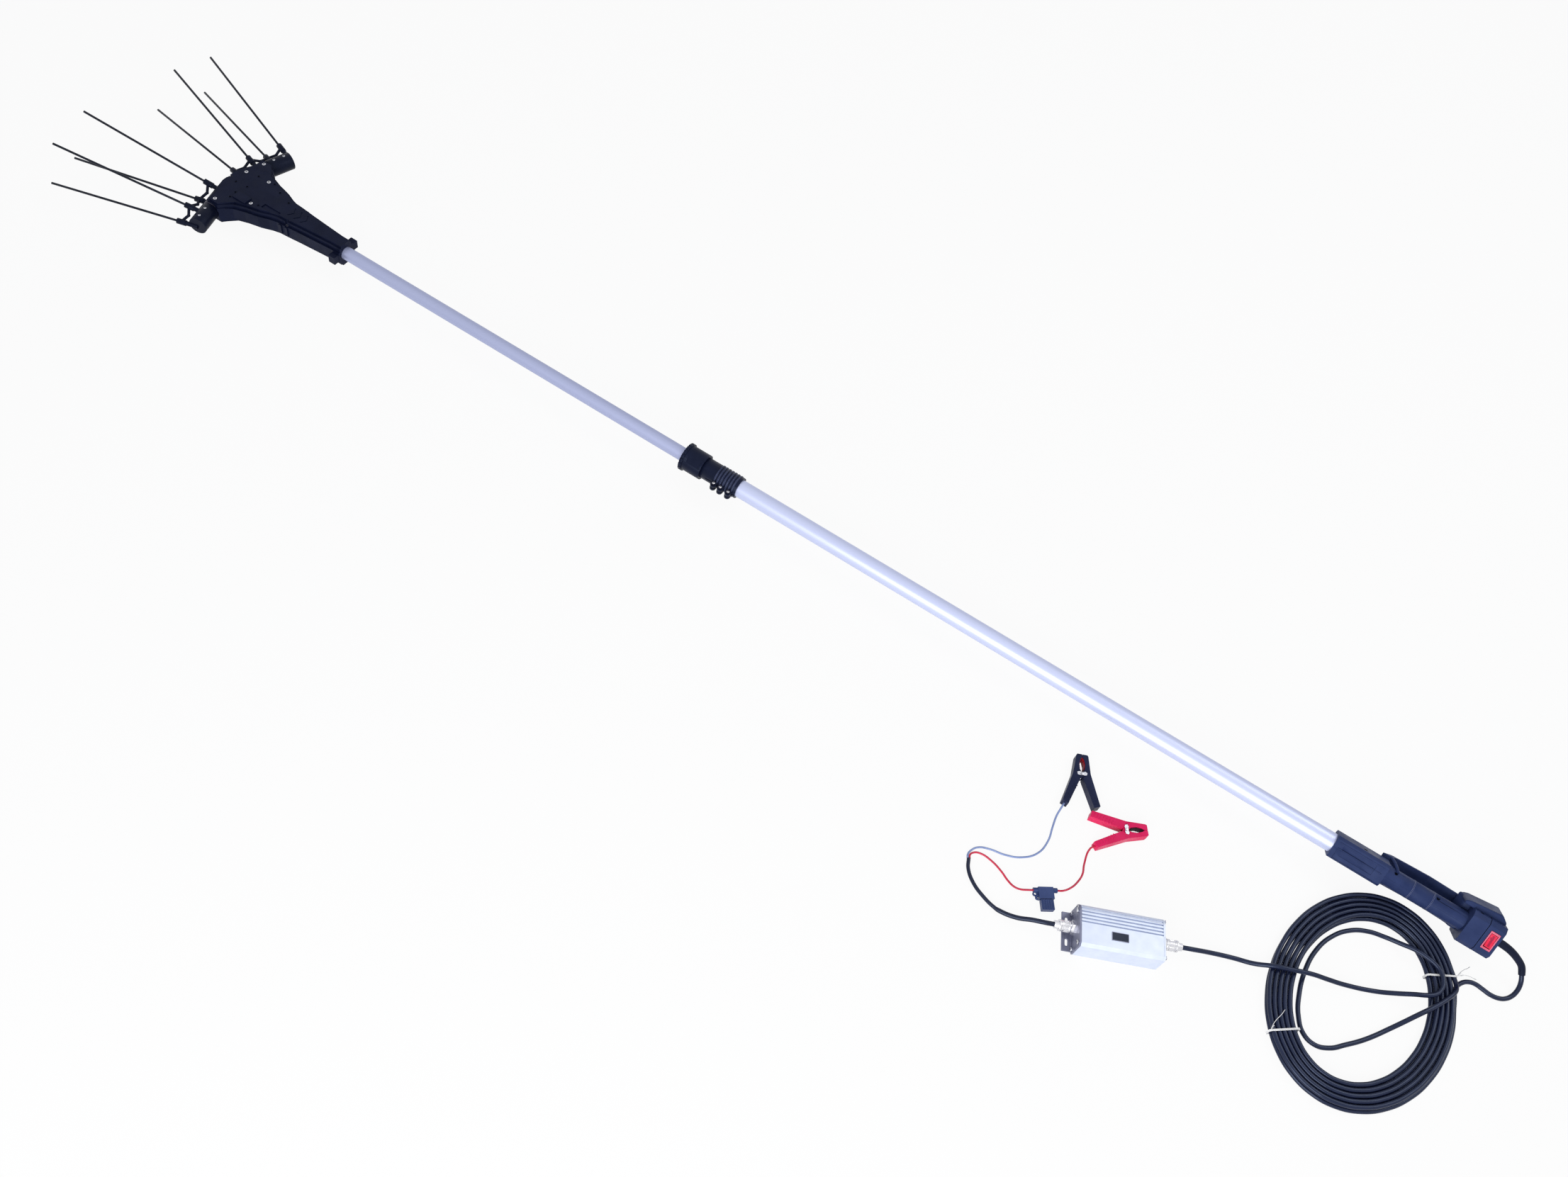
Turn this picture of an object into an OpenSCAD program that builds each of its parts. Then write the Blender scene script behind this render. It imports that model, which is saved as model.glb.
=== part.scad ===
// Electric olive harvester: a telescopic aluminium pole with two vibrating tine combs,
// a guarded handle, a coiled supply cord, a control box and a pair of battery clips.
// Origin at the middle of the hand grip on the pole's axis, +X along the pole to the combs,
// +Y to the left of it and +Z up. The floor lies at z = -axis_h.

/* [Pole] */
// Outside diameter of the rear (outer) tube
outer_d = 32; // [30:0.5:34]
// Wall of the outer tube
outer_wall = 1.5; // [1:0.1:2]
// Outside diameter of the front (inner) tube
inner_d = 25; // [22:0.5:26]
// Wall of the inner tube
inner_wall = 1.4; // [1:0.1:2]
// Length of outer tube seen between handle and clamp
outer_visible = 1130; // [600:1:1600]
// Length of inner tube seen between clamp and head
inner_visible = 749; // [720:1:1400]
// Length of inner tube left behind the clamp's front end
tube_overlap = 200; // [140:1:300]
// Height of the pole's axis above the floor
axis_h = 48; // [48:0.5:60]

/* [Clamp] */
// Length of the split sleeve
clamp_len = 72; // [64:1:100]
// Outside diameter of the split sleeve
clamp_d = 39; // [37:0.5:44]
// Length of the locking collar
collar_len = 42; // [34:1:60]
// Outside diameter of the locking collar
collar_d = 47; // [45:0.5:56]
// Number of clamp screws
clamp_screw_count = 3; // [1:1:3]
// Number of ribs round the sleeve
clamp_rib_count = 7; // [2:1:8]

/* [Handle] */
// Turn of the handle about the pole, guard side down
handle_roll = 42; // [30:1:60]
// Length of the round grip
grip_len = 136; // [120:1:180]
// Diameter of the round grip
grip_d = 32; // [31:0.5:36]
// Length of the square socket that holds the outer tube
socket_len = 88; // [70:1:120]
// Width across the square socket
socket_w = 39; // [38:0.5:48]
// Length of the end block with its cap
block_len = 54; // [48:1:80]
// Reach of the end block to the guard side
block_low = 34; // [30:0.5:36]
// Reach of the end block to the switch side
block_high = 24; // [20:0.5:30]
// Thickness of the end block
block_t = 58; // [52:1:62]
// Wall of the handle shells
shell_wall = 2.6; // [2:0.1:3]
// Distance of the guard's outer face from the grip's axis
guard_reach = 45; // [40:0.5:48]
// Width of the guard band
guard_w = 50; // [36:1:52]
// Travel of the trigger
trigger_travel = 5; // [3:0.5:6]

/* [Head] */
// Length of the head housing
head_len = 300; // [270:1:330]
// Half width of the head housing
head_half_w = 73; // [68:1:80]
// Half thickness of the head housing
head_half_t = 23; // [22:0.5:28]
// Sweep of each comb axis behind square
comb_sweep = 16; // [12:1:18]
// Diameter of the comb hubs
hub_d = 33; // [30:0.5:34]
// Length of a comb axis to the hub's outer end
hub_end = 125; // [118:1:140]
// Spacing of the tines along the comb
tine_pitch = 31.5; // [28:0.5:33]
// Distance of a tine's socket mouth from the comb's axis
socket_reach = 40; // [36:1:60]
// Free length of a tine
tine_len = 246; // [150:1:330]
// Diameter of a tine
tine_d = 4.2; // [3:0.1:5]
// Alternate splay of the tines
tine_splay = 7; // [0:0.5:9]
// Left comb's rise at rest
left_rise = 6.5; // [4.5:0.5:8]
// Right comb's rise at rest
right_rise = 2.5; // [1:0.5:4.5]

/* [Supply cord] */
// Diameter of the supply cord
cord_d = 7.5; // [6:0.1:7.6]
// Number of loops in the coil
coil_loops = 10; // [4:1:12]
// Half length of the coil's outer strand along its short side
coil_half_x = 141; // [134:1:154]
// Half length of the coil's outer strand along its long side
coil_half_y = 183; // [176:1:196]

/* [Control box] */
// Length of the box extrusion
box_len = 127; // [100:1:160]
// Width of the box extrusion
box_w = 67.5; // [60:0.5:90]
// Height of the box
box_h = 44; // [40:0.5:60]
// Number of cooling grooves
box_groove_count = 6; // [2:1:6]
// Length of a slot in the mounting foot
slot_len = 11; // [6:0.5:14]
// Width of a slot in the mounting foot
slot_w = 4.5; // [3:0.1:6]

/* [Battery clips] */
// Length from a clip's pivot to the end of its handles
clip_handle_len = 60; // [50:1:80]
// Length from a clip's pivot to the tip of its jaws
clip_jaw_len = 36; // [30:1:50]
// Height of a clip lying on its side
clip_h = 16; // [15:0.5:20]
// Half angle between a clip's handles
clip_spread = 26; // [24:1:32]

/* [Hidden] */
$fn = 64;

// Overrun of a cut past the face it opens
over = 1;
// Radial clearance of a running fit
run_gap = 0.06;
// Clearance between pieces that move past each other
move_gap = 0.6;
// How far a joined piece is sunk into the piece it grows from
sink = 2;

// Pole
outer_r = outer_d / 2;
outer_bore_r = outer_r - outer_wall;
inner_r = inner_d / 2;
inner_bore_r = inner_r - inner_wall;
floor_z = -axis_h;
grip_end = grip_len / 2;
socket_end = grip_end + socket_len;
clamp_x = socket_end + outer_visible;
collar_x = clamp_x + clamp_len;
pole_front = collar_x + collar_len;
neck_x = pole_front + inner_visible;
tube_stop = 3;
outer_x0 = grip_end + tube_stop;
nose_web = 6;
outer_x1 = collar_x - nose_web;
inner_x0 = pole_front - tube_overlap;
neck_seat = 47;
inner_x1 = neck_x + neck_seat;
bush_len = 30;

// Clamp
clamp_r = clamp_d / 2;
collar_r = collar_d / 2;
nose_r = 18;
collet_r = 15;
collar_front = 4.5;
collar_rim = 2.5;
collar_rim_len = 6;
nose_end = pole_front - collar_front - move_gap;
rib_lift = 0.9;
rib_len = 1.6;
rib_first = 6;
rib_pitch = 6;
ear_at = [10, 26, 40];
ear_r = 5.5;
ear_y = 25;
ear_h = 6;
clamp_slit = 2;
clamp_screw_r = 2;
clamp_head_r = 3.6;
clamp_head_h = 2.6;
collet_slit = 1.5;
collet_slit_end = 8;
panel_len = 24;
panel_w = 26;
panel_depth = 1;
collar_grip_r = 1.2;
collar_grip_count = 18;

// Handle, in a frame turned with it: z is square to the joint between the two shells
grip_r = grip_d / 2;
socket_half = socket_w / 2;
socket_chamfer = 4;
block_half_t = block_t / 2;
block_chamfer = 7;
block_x0 = -grip_end - block_len;
cap_len = 27;
cap_x = block_x0 + cap_len;
bore_r = grip_r - shell_wall;
groove_at = [23, -10];
groove_w = 1.5;
groove_depth = 0.8;
slope_len = 9;
panel_x = [86, 142];
panel_half = 9;
guard_half = guard_w / 2;
// Guard outline: place along the grip as shares of its half length, depth as shares of its reach
guard_shares = [
    [1.18, -0.433], [0.98, -0.70], [0.91, -0.76], [-0.03, -1], [-0.78, -0.87], [-1, -0.755],
    [-1, -0.645], [-0.76, -0.755], [-0.03, -0.885], [0.80, -0.67], [0.88, -0.58], [0.92, -0.433]
];
trigger_x = [-9.4, 22.4];
trigger_half = 6.3;
trigger_shares = [
    [0, -0.30], [0, -1], [0.14, -1.04], [0.38, -0.93], [0.66, -0.86], [0.9, -0.84], [1, -0.74], [1, -0.30]
];
trigger_out = 26;
flange_y = [-10.4, -8.2];
flange_half = 7.4;
micro_x = [-3, 17];
micro_y = [1, 11];
micro_half = 3.2;
micro_post_y = 14.5;
plunger_r = 1.4;
plunger_lift = 2;
screw_r = 1.5;
screw_head_r = 3;
screw_head_h = 2;
boss_r = 3.8;
grip_screw_x = [54, -17];
grip_screw_y = 9;
grip_screw_top = 12.2;
grip_screw_low = -9;
socket_screw_x = 110;
socket_screw_y = 7;
socket_screw_low = 15.2;
block_screw_x = -80;
block_screw_y = 13;
block_screw_low = -22;
switch_x = -109;
switch_half = [6.2, 13];
switch_deep = 18;
rocker_half = [5, 11.2];
rocker_room = [5.6, 12.4];
rocker_floor = 7;
bezel_half = [7.6, 15.6];
bezel_t = 2;
rocker_axis = 1.6;
rocker_rise = 3.2;
rocker_dip = 1.2;
rocker_low = 1.5;
rocker_tilt = 8;
rocker_pin_r = 1.2;
rocker_pin_end = 6;
boot_flange_r = 8.5;
boot_flange_t = 3;
boot_r = 6.4;
boot_tip_r = 5;

// Head
head_shares = [
    [0.045, 0.26], [0.107, 0.26], [0.35, 0.34], [0.457, 0.384], [0.507, 0.397], [0.557, 0.452],
    [0.623, 0.56], [0.707, 0.644], [0.78, 0.753], [0.823, 0.877], [0.847, 1], [0.943, 1],
    [0.953, 0.712], [0.98, 0.466], [0.997, 0.219], [0.997, 0.08], [0.973, 0]
];
apex_back = 8;
apex_x = neck_x + head_len - apex_back;
// The head's sides are stepped: full outline at the seam, drawn in at the step and again at the deck
edge_t = 11;
deck_t = 19;
step_inset = 4;
deck_inset = 8;
// Share of the length where the lobes begin, and how much of the inset their sides take
lobe_from = 0.8;
lobe_inset = 0.4;
// Share of the length where the front begins, and how fast it leans back
front_from = 0.9;
front_slope = 1.2;
tab_at = [14, 28];
tab_reach = 31;
tab_half_t = 8;
motor_r = 17.5;
lead_r = 8;
crank_shaft_r = 5;
crank_entry = 5;
bearing_r = 11;
bearing_x = [-78, -70];
// Drive train, from the bearing back towards the pole
gearbox_gap = 14;
gearbox_len = head_len / 6;
motor_len = head_len / 4;
gearbox_x1 = apex_x + bearing_x[0] - gearbox_gap;
motor_x1 = gearbox_x1 - gearbox_len;
motor_x0 = motor_x1 - motor_len;
rear_web_x = [-56, -52.5];
mid_web_x = [-42.5, -39.5];
pin_end_x = -31.5;
right_fork_x = [-50, -45];
left_fork_x = [-37.5, -33];
crank_pin_r = 2.5;
rear_web_r = 8.6;
mid_web_r = 8;
// Throw of each crank pin as a share of the lever it moves
throw_share = 0.115;
left_lever_len = 33;
right_lever_len = 44.4;
left_throw = left_lever_len * throw_share;
right_throw = right_lever_len * throw_share;
mean_rise = (left_rise + right_rise) / 2;
// Turn of the crank for each degree of comb swing
crank_ratio = 10;
crank_turn = (left_rise - mean_rise) * crank_ratio;
fork_gap = 0.9;
prong_t = 3.5;
left_prong_y = [-2, 17];
left_block_y = 10.5;
left_block_x = -24;
right_prong_y = [-2, 18];
right_block_y = 11.5;
right_block_x = -31;
lever_u = [15.5, 23];
left_arm_d = -24;
right_arm_d = -33;
lever_half_t = 4.5;
lever_ring_r = 10.5;
shaft_r = 6;
shaft_u = [3.5, 119];
inner_bush_u = [4, 13];
inner_bush_r = 10;
outer_bush_u = [68, 78];
outer_bush_r = 16;
journal_r = 12;
hub_r = hub_d / 2;
hub_u0 = 24.5;
journal_u = [67, 79];
channel_gap = 0.8;
arm_room = 3.5;
room_x = [-60, -14];
room_half_y = 22;
room_half_z = 14;
lever_room_u = [13.6, 24];
lever_room_d = -42;
lever_room_half_z = 13.2;
arm_r = 4.2;
tine_socket_r = 5.4;
tine_socket_len = 17;
tine_sunk = 13;
link_r = 2.6;
link_back = 7;
link_knee = 0.5;
tine_r = tine_d / 2;
// Tine bases sit this far behind the comb axis on the lines they point along
splay_back = 19;
tine_first = 29.5;
tine_fan = [-5, -1.5, 2, 1];
tine_side = [1, -1, 1, -1];
// Screws: place as shares of the head's length and half width, and the height of the screw's end
head_screw_at = [
    [0.886, 0.86, 16.2], [0.886, -0.86, 16.2], [0.915, -0.36, 15.5], [0.75, -0.44, -14], [0.7, 0.42, -14],
    [0.44, 0.30, -9]
];
head_screw_r = 1.7;
head_screw_head_r = 3.4;
head_screw_head_h = 2.4;
chevron_at = [102, 117, 132];
chevron_half = 11;
chevron_w = 3;
chevron_back = 7;
chevron_depth = 0.8;
vent_at = [216, 246];
vent_y = [22, 40];
vent_lift = 2.5;
scoop_at = [152, 190];
scoop_y = [15, 26];
scoop_depth = 2;
rib_pair_at = [128, 141];
rib_pair_w = 6;
rib_pair_lift = 2;
rib_pair_half_t = 10;

// Supply cord, heights measured from the floor
cord_r = cord_d / 2;
coil_x = 20;
coil_y = 194;
coil_tilt = -7.5;
coil_pitch = cord_d + 0.65;
coil_base = cord_r + 1.3;
coil_rings = 24;
coil_sides = 6;
coil_step = 360 / coil_rings;
coil_start = 212.5;
coil_end = 227.5;
coil_n = (360 * coil_loops - (coil_end - coil_start)) / coil_step;
coil_turns = coil_n / coil_rings;
boot_route = [
    [block_x0 - boot_flange_t, 0, axis_h], [-135, 0, 48], [-149, 1, 46], [-163, 2.5, 40.5], [-177, 5.5, 32],
    [-185, 13, 23]
];
handle_route = [
    [-189.6, 19.6, 16.9], [-191.6, 28.2, 12], [-190.6, 37.6, 8.3], [-186.8, 46.7, 5.9], [-180.5, 54.5, 4.6],
    [-172, 60, 4.2], [-158, 63, 4.2], [-144, 61.5, 4.2], [-131.8, 60.5, 4.3], [-121.4, 63.7, 4.4],
    [-111.4, 72.8, 4.6], [-106.2, 85.6, 4.8]
];
box_route = [
    [-99.6, 85.5, 15.4], [-101.6, 94, 18.4], [-100.6, 103, 21.4], [-94.5, 118, 22.7], [-78, 147, 22.5],
    [-61, 172, 19.5], [-36, 208, 6.5], [-6, 249, 4], [17, 274, 4], [38, 294, 4], [59, 302, 4],
    [79, 296, 4], [94, 276, 4], [105, 242, 4], [109.5, 200, 4], [105.5, 160, 4], [91.5, 124, 4],
    [69, 96, 4], [43, 80, 4], [18, 73.5, 5], [-6, 72.5, 11], [-28, 74, 20], [-48, 77, 22.8],
    [-63, 81, 22.8], [-73.4, 89, 22.8], [-79.3, 100.5, 22.8], [-80, 113, 22.8], [-75, 125.2, 22.8],
    [-64.5, 134.6, 22.4], [-46, 144.5, 19.5], [-24, 155, 11.5], [2, 167, 5.2], [48, 187, 6.5],
    [78, 200, 14.5], [102, 210, 21.2], [130, 222, 22.8], [157, 233, 21.4], [184, 242, 9.5],
    [213, 250, 5], [245, 265, 10]
];
cord_lead = 14;
cord_sides = 8;
tie_t = 1.1;
tie_w = 4;
tie_gap = 0.2;
right_tie_at = 226;
right_tie_tails = [5, 33];
left_tie_at = 52;
left_tie_tails = [224];
tie_tail_len = 44;
tie_tail_r = 1;

// Control box, in its own frame: x along it towards the battery side, floor at z = 0
box_x = 382.7;
box_y = 333;
box_turn = 24.5;
box_wall = 3.5;
box_top = 6.5;
box_corner = 13;
groove_first = 3;
groove_step = 5.3;
box_groove_w = 2.4;
box_groove_h = 3;
near_chamfer = 5;
plate_t = 3;
foot_len = 15;
foot_t = 3;
foot_slot_y = 17;
foot_inset = 3;
box_screw_r = 1.6;
box_screw_head_r = 3.1;
box_screw_head_h = 1.8;
box_screw_deep = 10;
box_screw_in = 5.6;
box_screw_low = 6.6;
screw_pad = 5;
board_z = 12;
board_t = 1.6;
board_end = 4;
rail_t = 1.6;
rail_len = 3;
chip_at = [[-34, -12], [-8, 8], [24, -8]];
chip_size = [18, 16, 14];
label_at = [4, 11];
label_size = [26, 13];
label_t = 0.6;
plug_z = 22;
plug_nut_r = 11.5;
plug_nut_len = 6;
plug_barrel_r = 8;
plug_barrel_len = 20;
plug_ring_r = 9;
plug_ring_len = 3;
plug_tail_r = 6;
plug_tail_len = 7;
plug_hole_r = 7;
plug_tip = box_len / 2 + plate_t + plug_nut_len + plug_barrel_len + plug_tail_len;

// Battery lead, heights measured from the floor
sheath_r = 3.7;
sheath_thin_r = 3;
wire_r = 1.6;
sheath_route = [
    [502, 385, 18], [526, 393, 10], [552, 396, 4.8], [560, 395.5, 4.2], [582, 390, 4], [606, 379, 4],
    [623, 363, 4], [630, 348, 4]
];
sheath_step = 5;
grey_route = [
    [631.6, 348.7, 4], [634, 343.5, 3.6], [633, 333, 1.9], [626, 322, 1.9], [610, 314, 1.9], [585, 308, 1.9],
    [561, 296, 1.9], [543, 275, 1.9], [538, 247, 1.9], [542.5, 219, 1.9], [545.5, 199, 3.4]
];
red_long_route = [
    [628.5, 347.3, 4], [630.9, 342.1, 3.6], [628, 334, 1.9], [619, 329, 1.9], [598, 329.5, 1.9],
    [577, 336, 1.9], [562, 343.5, 2.4], [550, 347, 3.2], [540, 346, 4.6]
];
red_short_route = [[474, 296, 3.4], [469, 280, 1.9], [468, 264, 1.9], [473, 247, 2.4]];
wire_lead = 9;

// Fuse holder, in its own frame: x along the wire, y to the cap
fuse_x = 506.5;
fuse_y = 325;
fuse_turn = 33.7;
fuse_z = 5.5;
fuse_bar_len = 38;
fuse_bar_r = 4;
fuse_body_w = 24;
fuse_body_len = 15;
fuse_body_t = 10;
fuse_wall = 1.8;
fuse_room = 7.8;
cap_w = 20;
cap_len_y = 17;
cap_wall = 1.6;
blade_w = 14;
blade_t = 3.6;
blade_len = 21;
blade_start = 3;
lug_r = 4;
lug_bore_r = 1.8;
lug_t = 2.4;
lug_x = 17;

// Battery clips, in their own frame: pivot at the origin, jaws towards +x, floor at z = 0
black_at = [543, 115];
black_turn = -66;
red_at = [442, 161];
red_turn = 214;
clip_half_gap = 0.4;
clip_grip_w = 11;
clip_pin_r = 2;
clip_relief_r = 5.8;
clip_lug_r = 5;
clip_lug_out = 9;
clip_lug_half = 4;
jaw_lugs = [0.6, 3];
fixed_lugs = [3.5, 5.5];
// Outline of a jaw half: place as shares of the jaw length, height as shares of the handle width
jaw_shares = [
    [-0.30, 0.34], [-0.1, 0.12], [0.1, 0.08], [0.25, 0.36], [0.5, 0.46], [0.75, 0.26], [0.86, 0.036],
    [1, 0.036], [1, 0.78], [0.93, 0.92], [0.5, 1.12], [0.05, 1.32]
];
clip_spring_r = 4;
clip_spring_wire = 0.9;
clip_spring_loops = 3;
clip_spring_rings = 10;

// Shapes
module rod_x(r, x0, x1) {
    translate([x0, 0, 0]) rotate([0, 90, 0]) cylinder(r = r, h = x1 - x0);
}

module pipe_x(r, bore, x0, x1) {
    difference() {
        rod_x(r, x0, x1);
        rod_x(bore, x0 - over, x1 + over);
    }
}

module slab(x, y, z) {
    translate([x[0], y[0], z[0]]) cube([x[1] - x[0], y[1] - y[0], z[1] - z[0]]);
}

module prism_x(points, x0, x1) {
    translate([x0, 0, 0]) rotate([90, 0, 90]) linear_extrude(height = x1 - x0) polygon(points);
}

module prism_z(points, z0, z1) {
    translate([0, 0, z0]) linear_extrude(height = z1 - z0) polygon(points);
}

module post(x, y, z0, z1, r) {
    translate([x, y, z0]) cylinder(r = r, h = z1 - z0);
}

function chamfered(y0, y1, z0, z1, c) = [
    [y0 + c, z0], [y1 - c, z0], [y1, z0 + c], [y1, z1 - c],
    [y1 - c, z1], [y0 + c, z1], [y0, z1 - c], [y0, z0 + c]
];

function unit(v) = v / norm(v);

function tangent(p, i) =
    i == 0 ? unit(p[1] - p[0]) :
    i == len(p) - 1 ? unit(p[i] - p[i - 1]) :
    unit(unit(p[i + 1] - p[i]) + unit(p[i] - p[i - 1]));

function ring_points(p, i, r, sides) =
    let (t = tangent(p, i), s = unit(cross([0, 0, 1], t)), v = cross(t, s))
    [for (k = [0 : sides - 1]) p[i] + r * (cos(360 * k / sides) * s + sin(360 * k / sides) * v)];

// A tube swept along points, with one radius for each point
module swept(p, radii, sides) {
    n = len(p);
    points = [for (i = [0 : n - 1]) each ring_points(p, i, radii[i], sides)];
    walls = [
        for (i = [0 : n - 2]) for (k = [0 : sides - 1])
            let (a = i * sides + k, b = i * sides + (k + 1) % sides, c = b + sides, d = a + sides)
            each [[a, c, b], [a, d, c]]
    ];
    first = [for (k = [1 : sides - 2]) [0, k, k + 1]];
    base = (n - 1) * sides;
    last = [for (k = [1 : sides - 2]) [base, base + k + 1, base + k]];
    polyhedron(points = points, faces = concat(first, walls, last), convexity = 10);
}

module even_tube(p, r, sides) {
    swept(p, [for (q = p) r], sides);
}

// Pole
module outer_tube() {
    color([0.8, 0.83, 0.93]) pipe_x(outer_r, outer_bore_r, outer_x0, outer_x1);
}

module inner_tube() {
    color([0.68, 0.71, 0.84]) pipe_x(inner_r, inner_bore_r, inner_x0, inner_x1);
}

module guide_bush() {
    color([0.9, 0.9, 0.88]) pipe_x(outer_bore_r - run_gap, inner_r, inner_x0, inner_x0 + bush_len);
}

module clamp_ears() {
    for (i = [0 : clamp_screw_count - 1]) {
        x = clamp_x + ear_at[i];
        slab([x - ear_r, x + ear_r], [0, ear_y], [-ear_h, ear_h]);
        post(x, ear_y, -ear_h, ear_h, ear_r);
    }
}

module clamp_sleeve() {
    color([0.09, 0.1, 0.15]) difference() {
        union() {
            rod_x(clamp_r, clamp_x, collar_x);
            rod_x(nose_r, collar_x - over, nose_end);
            for (i = [0 : clamp_rib_count - 1])
                rod_x(clamp_r + rib_lift, clamp_x + rib_first + i * rib_pitch,
                    clamp_x + rib_first + i * rib_pitch + rib_len);
            clamp_ears();
        }
        rod_x(outer_r, clamp_x - over, outer_x1);
        rod_x(collet_r, outer_x1 - over, nose_end + over);
        slab([clamp_x - over, outer_x1 - nose_web], [0, ear_y + ear_r + over],
            [-clamp_slit / 2, clamp_slit / 2]);
        for (i = [0 : clamp_screw_count - 1])
            post(clamp_x + ear_at[i], ear_y, -ear_h - over, ear_h + over, clamp_screw_r);
    }
}

module clamp_collet() {
    color([0.85, 0.85, 0.82]) difference() {
        pipe_x(collet_r, inner_r + run_gap, outer_x1, nose_end);
        for (a = [0, 90])
            rotate([a, 0, 0]) slab([outer_x1 + collet_slit_end, nose_end + over],
                [-collet_r - over, collet_r + over], [-collet_slit / 2, collet_slit / 2]);
    }
}

module lock_collar() {
    color([0.08, 0.09, 0.13]) difference() {
        union() {
            rod_x(collar_r, collar_x + move_gap, pole_front);
            rod_x(collar_r + collar_rim, pole_front - collar_rim_len, pole_front);
        }
        rod_x(nose_r + run_gap, collar_x - over, pole_front - collar_front);
        rod_x(inner_r + move_gap, collar_x - over, pole_front + over);
        rotate([-handle_roll, 0, 0])
            slab([collar_x + collar_rim_len, collar_x + collar_rim_len + panel_len],
                [-panel_w / 2, panel_w / 2], [collar_r - panel_depth, collar_r + collar_rim]);
        for (i = [0 : collar_grip_count - 1])
            rotate([360 * (i + 1 / 2) / collar_grip_count, 0, 0]) translate([0, 0, collar_r + collar_rim])
                rod_x(collar_grip_r, pole_front - collar_rim_len - over, pole_front + over);
    }
}

module clamp_screws() {
    color([0.8, 0.8, 0.82]) for (i = [0 : clamp_screw_count - 1]) {
        post(clamp_x + ear_at[i], ear_y, -ear_h - clamp_head_h, ear_h, clamp_screw_r);
        post(clamp_x + ear_at[i], ear_y, ear_h, ear_h + clamp_head_h, clamp_head_r);
        translate([clamp_x + ear_at[i], ear_y, -ear_h - clamp_head_h])
            cylinder(r = clamp_head_r, h = clamp_head_h, $fn = 6);
    }
}

// Handle
module handle_frame() {
    rotate([handle_roll, 0, 0]) children();
}

module block_prism(x0, x1, wall) {
    prism_x(chamfered(-block_low + wall, block_high - wall, -block_half_t + wall, block_half_t - wall,
        block_chamfer), x0, x1);
}

module handle_form() {
    prism_x(chamfered(-socket_half, socket_half, -socket_half, socket_half, socket_chamfer),
        grip_end, socket_end);
    rod_x(grip_r, -grip_end - over, grip_end + over);
    translate([grip_end - slope_len, 0, 0]) rotate([0, 90, 0])
        cylinder(r1 = grip_r, r2 = socket_half, h = slope_len + over);
    block_prism(cap_x, -grip_end, 0);
}

module handle_bosses() {
    for (x = grip_screw_x) post(x, grip_screw_y, -bore_r, bore_r, boss_r);
    post(block_screw_x, block_screw_y, -block_half_t + shell_wall, block_half_t - shell_wall, boss_r);
    slab([micro_x[0] + sink, micro_x[1] - sink], [micro_y[1], micro_post_y], [-micro_half, micro_half]);
}

module handle_holes() {
    for (x = grip_screw_x) {
        post(x, grip_screw_y, grip_screw_low, grip_screw_top, screw_r);
        post(x, grip_screw_y, grip_screw_top - screw_head_h, grip_r + over, screw_head_r);
    }
    post(socket_screw_x, socket_screw_y, 0, socket_half + over, screw_r);
    post(socket_screw_x, socket_screw_y, socket_half - screw_head_h, socket_half + over, screw_head_r);
    post(block_screw_x, block_screw_y, block_screw_low, block_half_t, screw_r);
    post(block_screw_x, block_screw_y, block_half_t - screw_head_h, block_half_t + over, screw_head_r);
}

module handle_shell() {
    difference() {
        union() {
            difference() {
                handle_form();
                rod_x(bore_r, -grip_end - block_len, outer_x0 + over);
                block_prism(cap_x - over, -grip_end - shell_wall, shell_wall);
            }
            intersection() {
                handle_bosses();
                union() {
                    rod_x(grip_r - over, -grip_end, grip_end);
                    block_prism(cap_x, -grip_end, over);
                }
            }
        }
        rod_x(outer_r, outer_x0, socket_end + over);
        for (x = groove_at) difference() {
            rod_x(grip_r + over, x - groove_w, x);
            rod_x(grip_r - groove_depth, x - groove_w - over, x + over);
        }
        slab([trigger_x[0] - move_gap, trigger_x[1] + move_gap], [-grip_r - over, flange_y[1] - over],
            [-trigger_half - move_gap, trigger_half + move_gap]);
        slab(panel_x, [socket_half - groove_depth, socket_half + over], [-panel_half, panel_half]);
        handle_holes();
    }
}

module handle_half(sign) {
    reach = block_low + block_t;
    intersection() {
        handle_shell();
        slab([block_x0 - over, socket_end + over], [-reach, reach], sign > 0 ? [0, reach] : [-reach, 0]);
    }
}

module handle_upper_shell() {
    color([0.13, 0.15, 0.22]) handle_frame() handle_half(1);
}

module handle_lower_shell() {
    color([0.13, 0.15, 0.22]) handle_frame() handle_half(-1);
}

module finger_guard() {
    reach = guard_reach + guard_w;
    color([0.13, 0.15, 0.22]) difference() {
        handle_frame() prism_z([for (s = guard_shares)
            [s[0] * grip_end, s[1] == guard_shares[0][1] ? -socket_half : s[1] * guard_reach]],
            -guard_half, guard_half);
        slab([-reach, reach], [-reach, reach], [floor_z - guard_reach, floor_z]);
    }
}

module handle_end_cap() {
    color([0.14, 0.16, 0.23]) handle_frame() difference() {
        block_prism(block_x0, cap_x, 0);
        block_prism(block_x0 + shell_wall, cap_x + over, shell_wall);
        slab([switch_x - switch_half[0], switch_x + switch_half[0]], [0, block_high + over],
            [-switch_half[1], switch_half[1]]);
    }
}

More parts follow.
